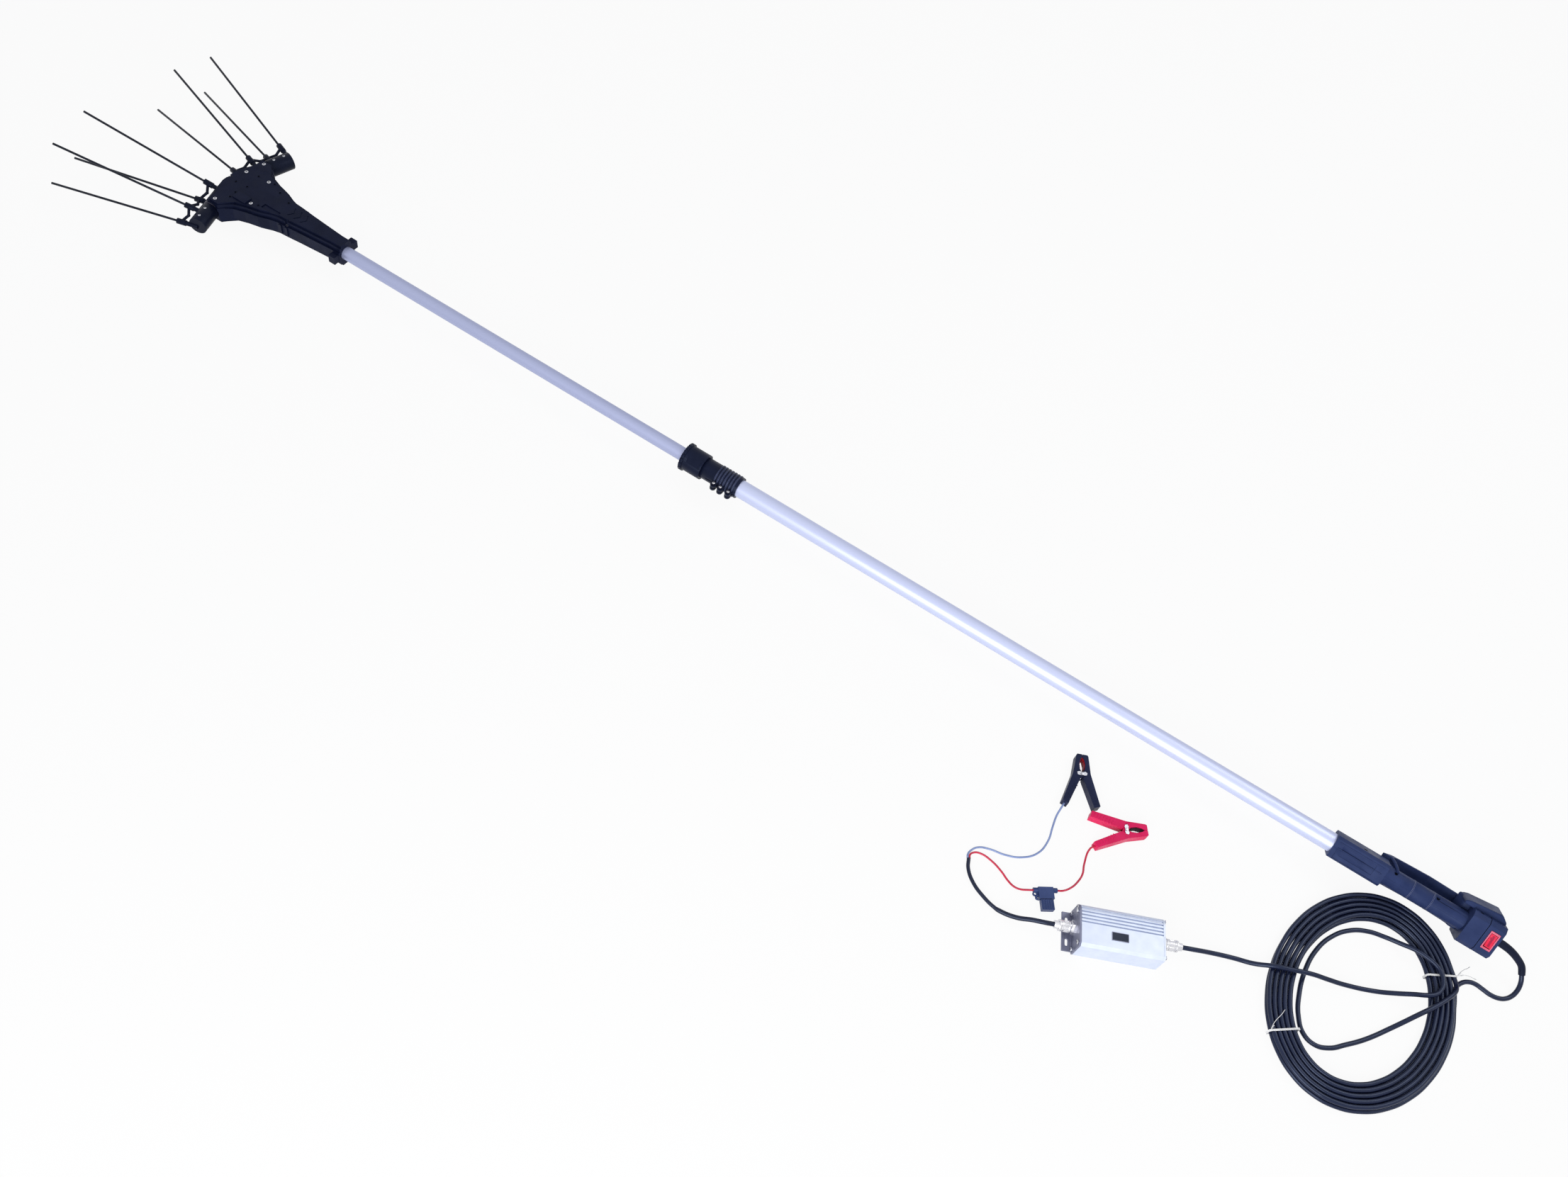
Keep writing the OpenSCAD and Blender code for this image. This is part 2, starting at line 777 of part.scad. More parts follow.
module handle_screws() {
    color([0.5, 0.51, 0.55]) handle_frame() {
        for (x = grip_screw_x) {
            post(x, grip_screw_y, grip_screw_low, grip_screw_top - screw_head_h, screw_r);
            post(x, grip_screw_y, grip_screw_top - screw_head_h, grip_screw_top, screw_head_r);
        }
        post(socket_screw_x, socket_screw_y, socket_screw_low, socket_half - screw_head_h, screw_r);
        post(socket_screw_x, socket_screw_y, socket_half - screw_head_h, socket_half, screw_head_r);
        post(block_screw_x, block_screw_y, block_screw_low, block_half_t - screw_head_h, screw_r);
        post(block_screw_x, block_screw_y, block_half_t - screw_head_h, block_half_t, screw_head_r);
    }
}

module trigger() {
    span = trigger_x[1] - trigger_x[0];
    color([0.1, 0.11, 0.15]) handle_frame() {
        prism_z([for (s = trigger_shares) [trigger_x[0] + s[0] * span, s[1] * trigger_out]],
            -trigger_half, trigger_half);
        slab(trigger_x, flange_y, [-flange_half, flange_half]);
    }
}

module trigger_switch() {
    color([0.2, 0.2, 0.22]) handle_frame() {
        slab(micro_x, micro_y, [-micro_half, micro_half]);
        translate([(micro_x[0] + micro_x[1]) / 2, micro_y[0] - plunger_lift, 0]) rotate([-90, 0, 0])
            cylinder(r = plunger_r, h = plunger_lift + over);
    }
}

module switch_frame() {
    handle_frame() translate([switch_x, block_high, 0]) children();
}

module switch_body() {
    color([0.05, 0.05, 0.06]) switch_frame() difference() {
        slab([-switch_half[0], switch_half[0]], [-switch_deep, 0], [-switch_half[1], switch_half[1]]);
        slab([-rocker_room[0], rocker_room[0]], [-rocker_floor, over], [-rocker_room[1], rocker_room[1]]);
        translate([0, -rocker_axis, 0]) rod_x(rocker_pin_r + run_gap, -block_t, block_t);
    }
}

module switch_bezel() {
    color([0.9, 0.45, 0.5]) switch_frame() difference() {
        slab([-bezel_half[0], bezel_half[0]], [0, bezel_t], [-bezel_half[1], bezel_half[1]]);
        slab([-rocker_room[0], rocker_room[0]], [-over, bezel_t + over], [-rocker_room[1], rocker_room[1]]);
    }
}

module rocker() {
    color([0.85, 0.1, 0.16]) switch_frame() translate([0, -rocker_axis, 0]) rotate([rocker_tilt, 0, 0]) {
        prism_x([
            [-rocker_low, -rocker_half[1]], [rocker_axis + rocker_rise, -rocker_half[1]],
            [rocker_axis + rocker_rise - rocker_dip, 0],
            [rocker_axis + rocker_rise, rocker_half[1]], [-rocker_low, rocker_half[1]]
        ], -rocker_half[0], rocker_half[0]);
        rod_x(rocker_pin_r, -rocker_pin_end, rocker_pin_end);
    }
}

module cord_boot() {
    n = len(boot_route) - 1;
    radii = [for (i = [0 : n]) boot_r + (boot_tip_r - boot_r) * i / n];
    color([0.07, 0.08, 0.11]) {
        rod_x(boot_flange_r, block_x0 - boot_flange_t, block_x0);
        on_floor() swept(boot_route, radii, cord_sides);
    }
}

// Head
function head_outline(inset) = let (half = [
    for (s = head_shares) let (side = inset * (s[0] < lobe_from ? 1 : lobe_inset), y = s[1] * head_half_w) [
        neck_x + s[0] * head_len - (s[0] < front_from ? 0 : front_slope * inset),
        y - min(side, y / 2)
    ]
]) concat(half, [for (i = [len(half) - 2 : -1 : 0]) [half[i][0], -half[i][1]]]);

module on_left() {
    translate([apex_x, 0, 0]) rotate([0, 0, comb_sweep]) children();
}

module on_right() {
    rotate([180, 0, 0]) on_left() children();
}

// A rod along a comb axis, from one distance along it to another
module rod_u(r, u) {
    translate([0, u[0], 0]) rotate([-90, 0, 0]) cylinder(r = r, h = u[1] - u[0]);
}

module comb_channels() {
    rod_u(inner_bush_r, inner_bush_u);
    rod_u(shaft_r + channel_gap, [inner_bush_u[0] - over, inner_bush_u[1] + over]);
    rod_u(lever_ring_r + sink, lever_room_u);
    slab([lever_room_d, 0], lever_room_u, [-lever_room_half_z, lever_room_half_z]);
    rod_u(hub_r + channel_gap, [hub_u0 - arm_room, journal_u[0] + over]);
    rod_u(outer_bush_r, [journal_u[0], journal_u[1]]);
    rod_u(hub_r + channel_gap, [outer_bush_u[1], hub_end]);
}

module head_form() {
    prism_z(head_outline(0), -edge_t, edge_t);
    prism_z(head_outline(step_inset), -deck_t, deck_t);
    prism_z(head_outline(deck_inset), -head_half_t, head_half_t);
    slab([neck_x + tab_at[0], neck_x + tab_at[1]], [-tab_reach, tab_reach], [-tab_half_t, tab_half_t]);
    for (x = rib_pair_at) {
        rib_y = lookup((x + rib_pair_w / 2) / head_len, head_shares) * head_half_w + rib_pair_lift;
        slab([neck_x + x, neck_x + x + rib_pair_w], [-rib_y, rib_y], [-rib_pair_half_t, rib_pair_half_t]);
    }
    slab([neck_x + vent_at[0], neck_x + vent_at[1]], vent_y, [0, head_half_t + vent_lift]);
}

module chevron(x) {
    prism_z([
        [x, 0], [x + chevron_back, chevron_half], [x + chevron_back + chevron_w, chevron_half],
        [x + chevron_w, 0], [x + chevron_back + chevron_w, -chevron_half], [x + chevron_back, -chevron_half]
    ], head_half_t - chevron_depth, head_half_t + over);
}

module head_shell() {
    difference() {
        head_form();
        rod_x(inner_r, neck_x - over, inner_x1);
        rod_x(lead_r, inner_x1 - over, motor_x0 + over);
        rod_x(motor_r, motor_x0, gearbox_x1);
        rod_x(crank_shaft_r + channel_gap, gearbox_x1 - over, apex_x + room_x[0] + over);
        rod_x(bearing_r, apex_x + bearing_x[0], apex_x + bearing_x[1]);
        slab([apex_x + room_x[0], apex_x + room_x[1]], [-room_half_y, room_half_y],
            [-room_half_z, room_half_z]);
        on_left() comb_channels();
        on_right() comb_channels();
        for (x = chevron_at) chevron(neck_x + x);
        slab([neck_x + scoop_at[0], neck_x + scoop_at[1]], scoop_y,
            [head_half_t - scoop_depth, head_half_t + over]);
        for (s = head_screw_at) head_screw(s, head_half_t);
    }
}

module head_screw(s, lift) {
    x = neck_x + s[0] * head_len;
    y = s[1] * head_half_w;
    top = s[0] < 1 / 2 ? edge_t : head_half_t;
    post(x, y, s[2], top, head_screw_r);
    post(x, y, top - head_screw_head_h, top + lift, head_screw_head_r);
}

module head_half(sign) {
    reach = head_half_w + head_half_t;
    intersection() {
        head_shell();
        slab([neck_x - over, neck_x + head_len + over], [-reach, reach],
            sign > 0 ? [0, reach] : [-reach, 0]);
    }
}

module head_upper_shell() {
    color([0.09, 0.11, 0.19]) head_half(1);
}

module head_lower_shell() {
    color([0.09, 0.11, 0.19]) head_half(-1);
}

module head_screws() {
    color([0.75, 0.75, 0.78]) for (s = head_screw_at) head_screw(s, 0);
}

module motor() {
    color([0.6, 0.61, 0.63]) rod_x(motor_r, motor_x0, motor_x1);
}

module gearbox() {
    color([0.45, 0.46, 0.48]) difference() {
        rod_x(motor_r, motor_x1, gearbox_x1);
        rod_x(crank_shaft_r + run_gap, gearbox_x1 - crank_entry - over, gearbox_x1 + over);
    }
}

// The crank, turned so that its pins lie level when both combs stand at the middle of their swing
module crank() {
    color([0.7, 0.7, 0.72]) translate([apex_x, 0, 0]) {
        rod_x(crank_shaft_r, gearbox_x1 - crank_entry - apex_x, rear_web_x[1]);
        rod_x(rear_web_r, rear_web_x[0], rear_web_x[1]);
        rod_x(mid_web_r, mid_web_x[0], mid_web_x[1]);
        rotate([-crank_turn, 0, 0]) {
            translate([0, -right_throw, 0]) rod_x(crank_pin_r, rear_web_x[1] - over, mid_web_x[0] + over);
            translate([0, left_throw, 0]) rod_x(crank_pin_r, mid_web_x[1] - over, pin_end_x);
        }
    }
}

module crank_bearing() {
    color([0.65, 0.66, 0.68])
        pipe_x(bearing_r, crank_shaft_r + run_gap, apex_x + bearing_x[0], apex_x + bearing_x[1]);
}

function tine_u(i) = tine_first + i * tine_pitch;

// Place on a tine's line, at a distance ahead of the comb's axis
module tine_line(i) {
    translate([-splay_back, tine_u(i), 0]) rotate([0, -tine_side[i] * tine_splay, tine_fan[i]])
        translate([splay_back, 0, 0]) children();
}

function tine_point(i, d) =
    let (run = d + splay_back, level = run * cos(tine_splay))
    [
        level * cos(tine_fan[i]) - splay_back, tine_u(i) + level * sin(tine_fan[i]),
        run * sin(tine_splay) * tine_side[i]
    ];

module bar_between(a, b, r) {
    v = b - a;
    translate(a) rotate([0, acos(v[2] / norm(v)), atan2(v[1], v[0])]) cylinder(r = r, h = norm(v));
}

module comb_frame() {
    difference() {
        union() {
            rod_u(hub_r, [hub_u0, journal_u[0]]);
            rod_u(journal_r, [journal_u[0] - over, journal_u[1] + over]);
            rod_u(hub_r, [journal_u[1], hub_end]);
            for (i = [0 : 3]) tine_line(i) {
                rod_x(arm_r, 0, socket_reach);
                rod_x(tine_socket_r, socket_reach - tine_socket_len, socket_reach);
            }
            for (i = [0 : 2]) {
                a = tine_point(i, socket_reach - link_back);
                b = tine_point(i + 1, socket_reach - link_back);
                m = (a + b) / 2 - [link_back, 0, 0];
                bar_between(a, m, link_r);
                bar_between(b, m, link_r);
                translate(m) sphere(r = link_r + link_knee);
            }
        }
        rod_u(shaft_r, [hub_u0 - over, shaft_u[1]]);
        for (i = [0 : 3]) tine_line(i) rod_x(tine_r, socket_reach - tine_sunk, socket_reach + over);
    }
}

module comb_tines() {
    for (i = [0 : 3]) tine_line(i) rod_x(tine_r, socket_reach - tine_sunk, socket_reach + tine_len);
}

// Shaft with its fork lever; the prongs run across the crank pin, square to the pole
module comb_shaft(rise, mean, arm_d, fork_x, fork_y, block_y, block_x) {
    half = crank_pin_r + fork_gap;
    rod_u(shaft_r, shaft_u);
    rotate([0, mean - rise, 0]) {
        rod_u(lever_ring_r, lever_u);
        slab([arm_d, 0], lever_u, [-lever_half_t, lever_half_t]);
        rotate([0, 0, -comb_sweep]) {
            slab([fork_x[0], block_x], [block_y, fork_y[1]], [-half - prong_t, half + prong_t]);
            for (s = [-1, 1])
                slab(fork_x, [fork_y[0], block_y + over],
                    s > 0 ? [half, half + prong_t] : [-half - prong_t, -half]);
        }
    }
}

module left_comb() {
    color([0.07, 0.09, 0.15]) on_left() rotate([0, -left_rise, 0]) comb_frame();
}

module left_tines() {
    color([0.04, 0.04, 0.05]) on_left() rotate([0, -left_rise, 0]) comb_tines();
}

module left_shaft() {
    color([0.7, 0.71, 0.73]) on_left()
        comb_shaft(left_rise, mean_rise, left_arm_d, left_fork_x, left_prong_y, left_block_y, left_block_x);
}

module right_comb() {
    color([0.07, 0.09, 0.15]) on_right() rotate([0, right_rise, 0]) comb_frame();
}

module right_tines() {
    color([0.04, 0.04, 0.05]) on_right() rotate([0, right_rise, 0]) comb_tines();
}

module right_shaft() {
    color([0.7, 0.71, 0.73]) on_right()
        comb_shaft(-right_rise, -mean_rise, right_arm_d, right_fork_x, right_prong_y, right_block_y,
            right_block_x);
}

module bush_u(r, bore, u) {
    difference() {
        rod_u(r, u);
        rod_u(bore, [u[0] - over, u[1] + over]);
    }
}

module bush_pair() {
    bush_u(inner_bush_r, shaft_r + run_gap, inner_bush_u);
    bush_u(outer_bush_r, journal_r + run_gap, outer_bush_u);
}

module comb_bushes() {
    color([0.75, 0.6, 0.3]) {
        on_left() bush_pair();
        on_right() bush_pair();
    }
}

// Supply cord
function coil_in(i) = coil_pitch * min(i, coil_n - i) / coil_rings;

function coil_climb(i) =
    let (s = min(1, max(0, (i / coil_rings - coil_turns / 2) * 2 + 1 / 2)))
    coil_base + coil_pitch * s * s * (3 - 2 * s);

function tilted(x, y, z) = let (c = cos(coil_tilt), s = sin(coil_tilt)) [x * c - y * s, x * s + y * c, z];

function coil_point(i) = let (t = coil_start - coil_step * i) [coil_x, coil_y, 0] + tilted(
    (coil_half_x - coil_in(i)) * cos(t), (coil_half_y - coil_in(i)) * sin(t), coil_climb(i)
);

function coil_way(t) = unit(tilted(coil_half_x * sin(t), -coil_half_y * cos(t), 0));

coil_first = coil_point(0) - cord_d * coil_way(coil_start);
coil_last = coil_point(coil_n) + cord_d * coil_way(coil_end);
coil_points = concat([coil_first], [for (i = [0 : coil_n]) coil_point(i)], [coil_last]);
// Least gap between strands that lie half a loop or more apart along the cord
coil_gap = min([
    for (i = [0 : coil_n]) for (j = [i + coil_rings / 2 : coil_n]) norm(coil_points[i] - coil_points[j])
]) - cord_d;
echo(coil_gap = coil_gap);

function box_point(along, z) = [box_x + along * cos(box_turn), box_y + along * sin(box_turn), z];

boot_end = boot_route[len(boot_route) - 1];
boot_way = unit(boot_end - boot_route[len(boot_route) - 2]);
handle_points = concat(
    [boot_end, boot_end + sink * boot_way], handle_route,
    [coil_first - cord_r * coil_way(coil_start), coil_first]
);
box_cord_points = concat(
    [coil_last, coil_last + sink * coil_way(coil_end)], box_route,
    [box_point(-plug_tip - cord_lead, plug_z), box_point(-plug_tip, plug_z)]
);

module on_floor() {
    translate([0, 0, floor_z]) children();
}

module handle_cord() {
    color([0.05, 0.05, 0.07]) on_floor() even_tube(handle_points, cord_r, cord_sides);
}

module cord_coil() {
    color([0.05, 0.05, 0.07]) on_floor() even_tube(coil_points, cord_r, coil_sides);
}

module box_cord() {
    color([0.05, 0.05, 0.07]) on_floor() even_tube(box_cord_points, cord_r, cord_sides);
}

// A flat wire tie round all the strands, at an angle round the coil, with tails turned from its own way
module coil_tie(at, tails) {
    depth = coil_pitch * coil_turns / 2;
    room = cord_r + tie_gap;
    x = [-depth - room, room];
    z = [coil_base - room, coil_base + coil_pitch + room];
    translate([coil_x, coil_y, 0] + tilted(coil_half_x * cos(at), coil_half_y * sin(at), 0))
        rotate([0, 0, coil_tilt + atan2(coil_half_x * sin(at), coil_half_y * cos(at))]) {
            difference() {
                slab([x[0] - tie_t, x[1] + tie_t], [-tie_w / 2, tie_w / 2], [z[0] - tie_t, z[1] + tie_t]);
                slab(x, [-tie_w / 2 - over, tie_w / 2 + over], z);
            }
            for (s = tails) translate([x[1] + tie_t - tie_tail_r, 0, z[1] + tie_t])
                rotate([0, 90, s]) cylinder(r = tie_tail_r, h = tie_tail_len);
        }
}

module right_tie() {
    color([0.95, 0.95, 0.93]) on_floor() coil_tie(right_tie_at, right_tie_tails);
}

module left_tie() {
    color([0.95, 0.95, 0.93]) on_floor() coil_tie(left_tie_at, left_tie_tails);
}

// Control box
module box_frame() {
    translate([box_x, box_y, floor_z]) rotate([0, 0, box_turn]) children();
}

module box_outline(x0, x1) {
    half = box_w / 2;
    prism_x([
        [-half + box_corner, 0], [half, 0], [half, box_h - near_chamfer], [half - near_chamfer, box_h],
        [-half + box_corner, box_h]
    ], x0, x1);
    slab([x0, x1], [-half, -half + box_corner + over], [0, box_h - box_corner]);
    translate([0, -half + box_corner, box_h - box_corner]) rod_x(box_corner, x0, x1);
}

module box_corners() {
    y = box_w / 2 - box_screw_in;
    for (p = [[-y, box_screw_low], [y, box_screw_low], [-y + box_screw_in, box_h - box_screw_in - sink],
        [y - sink, box_h - box_screw_in - sink]])
        translate([0, p[0], p[1]]) children();
}

module box_extrusion() {
    half = box_w / 2;
    end = box_len / 2;
    room = half - box_wall;
    color([0.82, 0.84, 0.9]) box_frame() difference() {
        union() {
            difference() {
                box_outline(-end, end);
                slab([-end - over, end + over], [-room, room], [box_wall, box_h - box_top - box_corner]);
                slab([-end - over, end + over], [-room + box_corner, room], [box_wall, box_h - box_top]);
            }
            intersection() {
                box_corners() rod_x(screw_pad, -end, end);
                box_outline(-end, end);
            }
            for (s = [-1, 1])
                slab([-end, end], s > 0 ? [room - rail_len, room + over] : [-room - over, -room + rail_len],
                    [board_z - rail_t, board_z]);
        }
        for (i = [0 : box_groove_count - 1])
            slab([-end - over, end + over],
                [-groove_first - i * groove_step - box_groove_w, -groove_first - i * groove_step],
                [box_h - box_groove_h, box_h + over]);
        box_corners() rod_x(box_screw_r, -end - over, end + over);
    }
}

module end_plate() {
    difference() {
        box_outline(box_len / 2, box_len / 2 + plate_t);
        translate([0, 0, plug_z]) rod_x(plug_hole_r, 0, box_len);
        box_corners() rod_x(box_screw_r, 0, box_len);
    }
}

module box_left_plate() {
    x0 = box_len / 2 + plate_t;
    half = box_w / 2 - foot_inset;
    mid = x0 + foot_len / 2;
    run = (slot_len - slot_w) / 2;
    color([0.3, 0.31, 0.34]) box_frame() {
        end_plate();
        difference() {
            slab([x0 - over, x0 + foot_len], [-half, half], [0, foot_t]);
            for (s = [-1, 1]) {
                for (e = [-run, run]) post(mid, s * foot_slot_y + e, -over, foot_t + over, slot_w / 2);
                slab([mid - slot_w / 2, mid + slot_w / 2], [s * foot_slot_y - run, s * foot_slot_y + run],
                    [-over, foot_t + over]);
            }
        }
    }
}

module box_right_plate() {
    color([0.3, 0.31, 0.34]) box_frame() mirror([1, 0, 0]) end_plate();
}

module box_screws() {
    x0 = box_len / 2 + plate_t;
    color([0.75, 0.75, 0.78]) box_frame() for (m = [0, 1]) mirror([m, 0, 0]) box_corners() {
        rod_x(box_screw_r, x0 - box_screw_deep, x0 + over);
        rod_x(box_screw_head_r, x0, x0 + box_screw_head_h);
    }
}

module circuit_board() {
    room = box_w / 2 - box_wall;
    end = box_len / 2 - board_end;
    color([0.1, 0.35, 0.2]) box_frame() {
        slab([-end, end], [-room, room], [board_z, board_z + board_t]);
        for (c = chip_at)
            slab([c[0], c[0] + chip_size[0]], [c[1], c[1] + chip_size[1]],
                [board_z, board_z + chip_size[2]]);
    }
}

module label_plate() {
    color([0.08, 0.08, 0.1]) box_frame()
        slab([label_at[0] - label_size[0] / 2, label_at[0] + label_size[0] / 2],
            [label_at[1] - label_size[1] / 2, label_at[1] + label_size[1] / 2], [box_h, box_h + label_t]);
}

module round_plug() {
    x0 = box_len / 2 + plate_t;
    x1 = x0 + plug_nut_len;
    translate([0, 0, plug_z]) {
        rod_x(plug_hole_r, x0 - plate_t, x0 + over);
        translate([x0, 0, 0]) rotate([0, 90, 0]) cylinder(r = plug_nut_r, h = plug_nut_len, $fn = 6);
        rod_x(plug_barrel_r, x1 - over, x1 + plug_barrel_len);
        rod_x(plug_ring_r, x1 + sink, x1 + sink + plug_ring_len);
        rod_x(plug_ring_r, x1 + plug_barrel_len - plug_ring_len, x1 + plug_barrel_len);
        rod_x(plug_tail_r, x1 + plug_barrel_len - over, plug_tip);
    }
}

module battery_connector() {
    color([0.78, 0.79, 0.82]) box_frame() round_plug();
}

module pole_connector() {
    color([0.78, 0.79, 0.82]) box_frame() mirror([1, 0, 0]) round_plug();
}

// Battery lead
sheath_points = concat([box_point(plug_tip, plug_z), box_point(plug_tip + cord_lead, plug_z)], sheath_route);

function fuse_point(x) = [fuse_x + x * cos(fuse_turn), fuse_y + x * sin(fuse_turn), fuse_z];

function clip_point(at, turn, side, run) = let (a = turn + side * (180 - clip_spread)) [
    at[0] + run * cos(a), at[1] + run * sin(a), clip_h / 2
];

grey_points = concat(grey_route, [
    clip_point(black_at, black_turn, 1, clip_handle_len + wire_lead),
    clip_point(black_at, black_turn, 1, clip_handle_len)
]);
red_long_points = concat(red_long_route, [
    fuse_point(fuse_bar_len / 2 + wire_lead), fuse_point(fuse_bar_len / 2)
]);
red_short_points = concat(
    [fuse_point(-fuse_bar_len / 2), fuse_point(-fuse_bar_len / 2 - wire_lead)], red_short_route,
    [
        clip_point(red_at, red_turn, -1, clip_handle_len + wire_lead),
        clip_point(red_at, red_turn, -1, clip_handle_len)
    ]
);

module battery_sheath() {
    radii = [for (i = [0 : len(sheath_points) - 1]) i < sheath_step ? sheath_r : sheath_thin_r];
    color([0.06, 0.06, 0.08]) on_floor() swept(sheath_points, radii, cord_sides);
}

module grey_wire() {
    color([0.5, 0.58, 0.78]) on_floor() even_tube(grey_points, wire_r, cord_sides);
}

module red_wire_long() {
    color([0.8, 0.1, 0.2]) on_floor() even_tube(red_long_points, wire_r, cord_sides);
}

module red_wire_short() {
    color([0.8, 0.1, 0.2]) on_floor() even_tube(red_short_points, wire_r, cord_sides);
}

module fuse_frame() {
    translate([fuse_x, fuse_y, floor_z + fuse_z]) rotate([0, 0, fuse_turn]) children();
}

module fuse_holder() {
    half = fuse_body_w / 2;
    thick = fuse_body_t / 2;
    lug_y = fuse_bar_r + lug_r / 2;
    color([0.16, 0.2, 0.36]) fuse_frame() difference() {
        union() {
            rod_x(fuse_bar_r, -fuse_bar_len / 2, fuse_bar_len / 2);
            slab([-half, half], [-fuse_bar_r, fuse_body_len], [-thick, thick]);
            slab([half - over, lug_x], [lug_y - lug_t, lug_y + lug_t], [-lug_t / 2, lug_t / 2]);
            post(lug_x, lug_y, -lug_t / 2, lug_t / 2, lug_r);
        }
        slab([-fuse_room, fuse_room], [blade_start, fuse_body_len + over],
            [-thick + fuse_wall, thick - fuse_wall]);
        post(lug_x, lug_y, -lug_t, lug_t, lug_bore_r);
    }
}

module fuse_cap() {
    half = cap_w / 2;
    thick = fuse_body_t / 2;
    y0 = fuse_body_len + move_gap;
    color([0.17, 0.22, 0.4]) fuse_frame() difference() {
        slab([-half, half], [y0, y0 + cap_len_y], [-thick, thick]);
        slab([-half + cap_wall, half - cap_wall], [y0 - over, y0 + cap_len_y - cap_wall],
            [-thick + cap_wall, thick - cap_wall]);
    }
}

module blade_fuse() {
    color([0.9, 0.55, 0.1]) fuse_frame()
        slab([-blade_w / 2, blade_w / 2], [blade_start, blade_start + blade_len],
            [-blade_t / 2, blade_t / 2]);
}

// Battery clips
module clip_frame(at, turn) {
    translate([at[0], at[1], floor_z]) rotate([0, 0, turn]) children();
}

function clip_outline() = concat(
    [for (s = jaw_shares) [s[0] * clip_jaw_len, max(clip_half_gap, s[1] * clip_grip_w)]],
    [for (s = [1, -1]) let (c = cos(clip_spread), n = sin(clip_spread)) [
        -clip_handle_len * c + s * clip_grip_w / 2 * n, clip_handle_len * n + s * clip_grip_w / 2 * c
    ]]
);

module clip_lug(z) {
    post(0, 0, z[0], z[1], clip_lug_r);
    slab([-clip_lug_half, clip_lug_half], [0, clip_lug_out], z);
}

module clip_half(lugs, bore) {
    pairs = [lugs, [clip_h - lugs[1], clip_h - lugs[0]]];
    difference() {
        union() {
            difference() {
                prism_z(clip_outline(), 0, clip_h);
                post(0, 0, -over, clip_h + over, clip_relief_r);
            }
            for (z = pairs) clip_lug(z);
        }
        post(0, 0, -over, clip_h + over, bore);
    }
}

module clip_pivot() {
    low = fixed_lugs[1] + clip_spring_wire + run_gap;
    n = clip_spring_loops * clip_spring_rings;
    rise = (clip_h - low * 2) / n;
    post(0, 0, 0, clip_h, clip_pin_r);
    even_tube([for (i = [0 : n]) let (t = 360 * i / clip_spring_rings) [
        clip_spring_r * cos(t), clip_spring_r * sin(t), low + i * rise
    ]], clip_spring_wire, coil_sides);
}

module black_clip_fixed() {
    color([0.09, 0.09, 0.11]) clip_frame(black_at, black_turn) clip_half(fixed_lugs, clip_pin_r);
}

module black_clip_jaw() {
    color([0.09, 0.09, 0.11]) clip_frame(black_at, black_turn) mirror([0, 1, 0])
        clip_half(jaw_lugs, clip_pin_r + run_gap);
}

module black_clip_pivot() {
    color([0.75, 0.75, 0.77]) clip_frame(black_at, black_turn) clip_pivot();
}

module red_clip_fixed() {
    color([0.86, 0.08, 0.28]) clip_frame(red_at, red_turn) mirror([0, 1, 0])
        clip_half(fixed_lugs, clip_pin_r);
}

module red_clip_jaw() {
    color([0.86, 0.08, 0.28]) clip_frame(red_at, red_turn) clip_half(jaw_lugs, clip_pin_r + run_gap);
}

module red_clip_pivot() {
    color([0.75, 0.75, 0.77]) clip_frame(red_at, red_turn) clip_pivot();
}

outer_tube();
inner_tube();
guide_bush();
clamp_sleeve();
clamp_collet();
lock_collar();
clamp_screws();
handle_upper_shell();
handle_lower_shell();
finger_guard();
handle_end_cap();
handle_screws();
trigger();
trigger_switch();
switch_body();
switch_bezel();
rocker();
cord_boot();
head_upper_shell();
head_lower_shell();
head_screws();
motor();
gearbox();
crank();
crank_bearing();
left_comb();
left_tines();
left_shaft();
right_comb();
right_tines();
right_shaft();
comb_bushes();
handle_cord();
cord_coil();
box_cord();
right_tie();
left_tie();
box_extrusion();
box_left_plate();
box_right_plate();
box_screws();
circuit_board();
label_plate();
battery_connector();
pole_connector();
battery_sheath();
grey_wire();
red_wire_long();
red_wire_short();
fuse_holder();
fuse_cap();
blade_fuse();
black_clip_fixed();
black_clip_jaw();
black_clip_pivot();
red_clip_fixed();
red_clip_jaw();
red_clip_pivot();
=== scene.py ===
"""Looks of the electric olive harvester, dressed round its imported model."""
import math

import bmesh
import bpy
from mathutils import Matrix, Vector


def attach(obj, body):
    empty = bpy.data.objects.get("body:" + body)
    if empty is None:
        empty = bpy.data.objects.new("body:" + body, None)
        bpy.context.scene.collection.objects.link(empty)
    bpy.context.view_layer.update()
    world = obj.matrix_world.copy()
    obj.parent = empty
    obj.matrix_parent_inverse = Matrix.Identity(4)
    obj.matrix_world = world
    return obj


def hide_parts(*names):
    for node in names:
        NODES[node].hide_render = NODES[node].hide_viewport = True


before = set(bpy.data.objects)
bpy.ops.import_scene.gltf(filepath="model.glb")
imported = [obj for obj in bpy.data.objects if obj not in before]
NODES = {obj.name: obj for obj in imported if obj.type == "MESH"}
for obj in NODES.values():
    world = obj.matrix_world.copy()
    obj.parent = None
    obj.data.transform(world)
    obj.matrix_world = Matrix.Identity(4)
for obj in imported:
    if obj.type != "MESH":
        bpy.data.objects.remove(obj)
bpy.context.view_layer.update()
ROOT = "handle_and_pole"
HEAD_BODY = "inner_pole"
MM = 0.001
FLOOR_MM = -48
FLOOR_Z = FLOOR_MM * MM


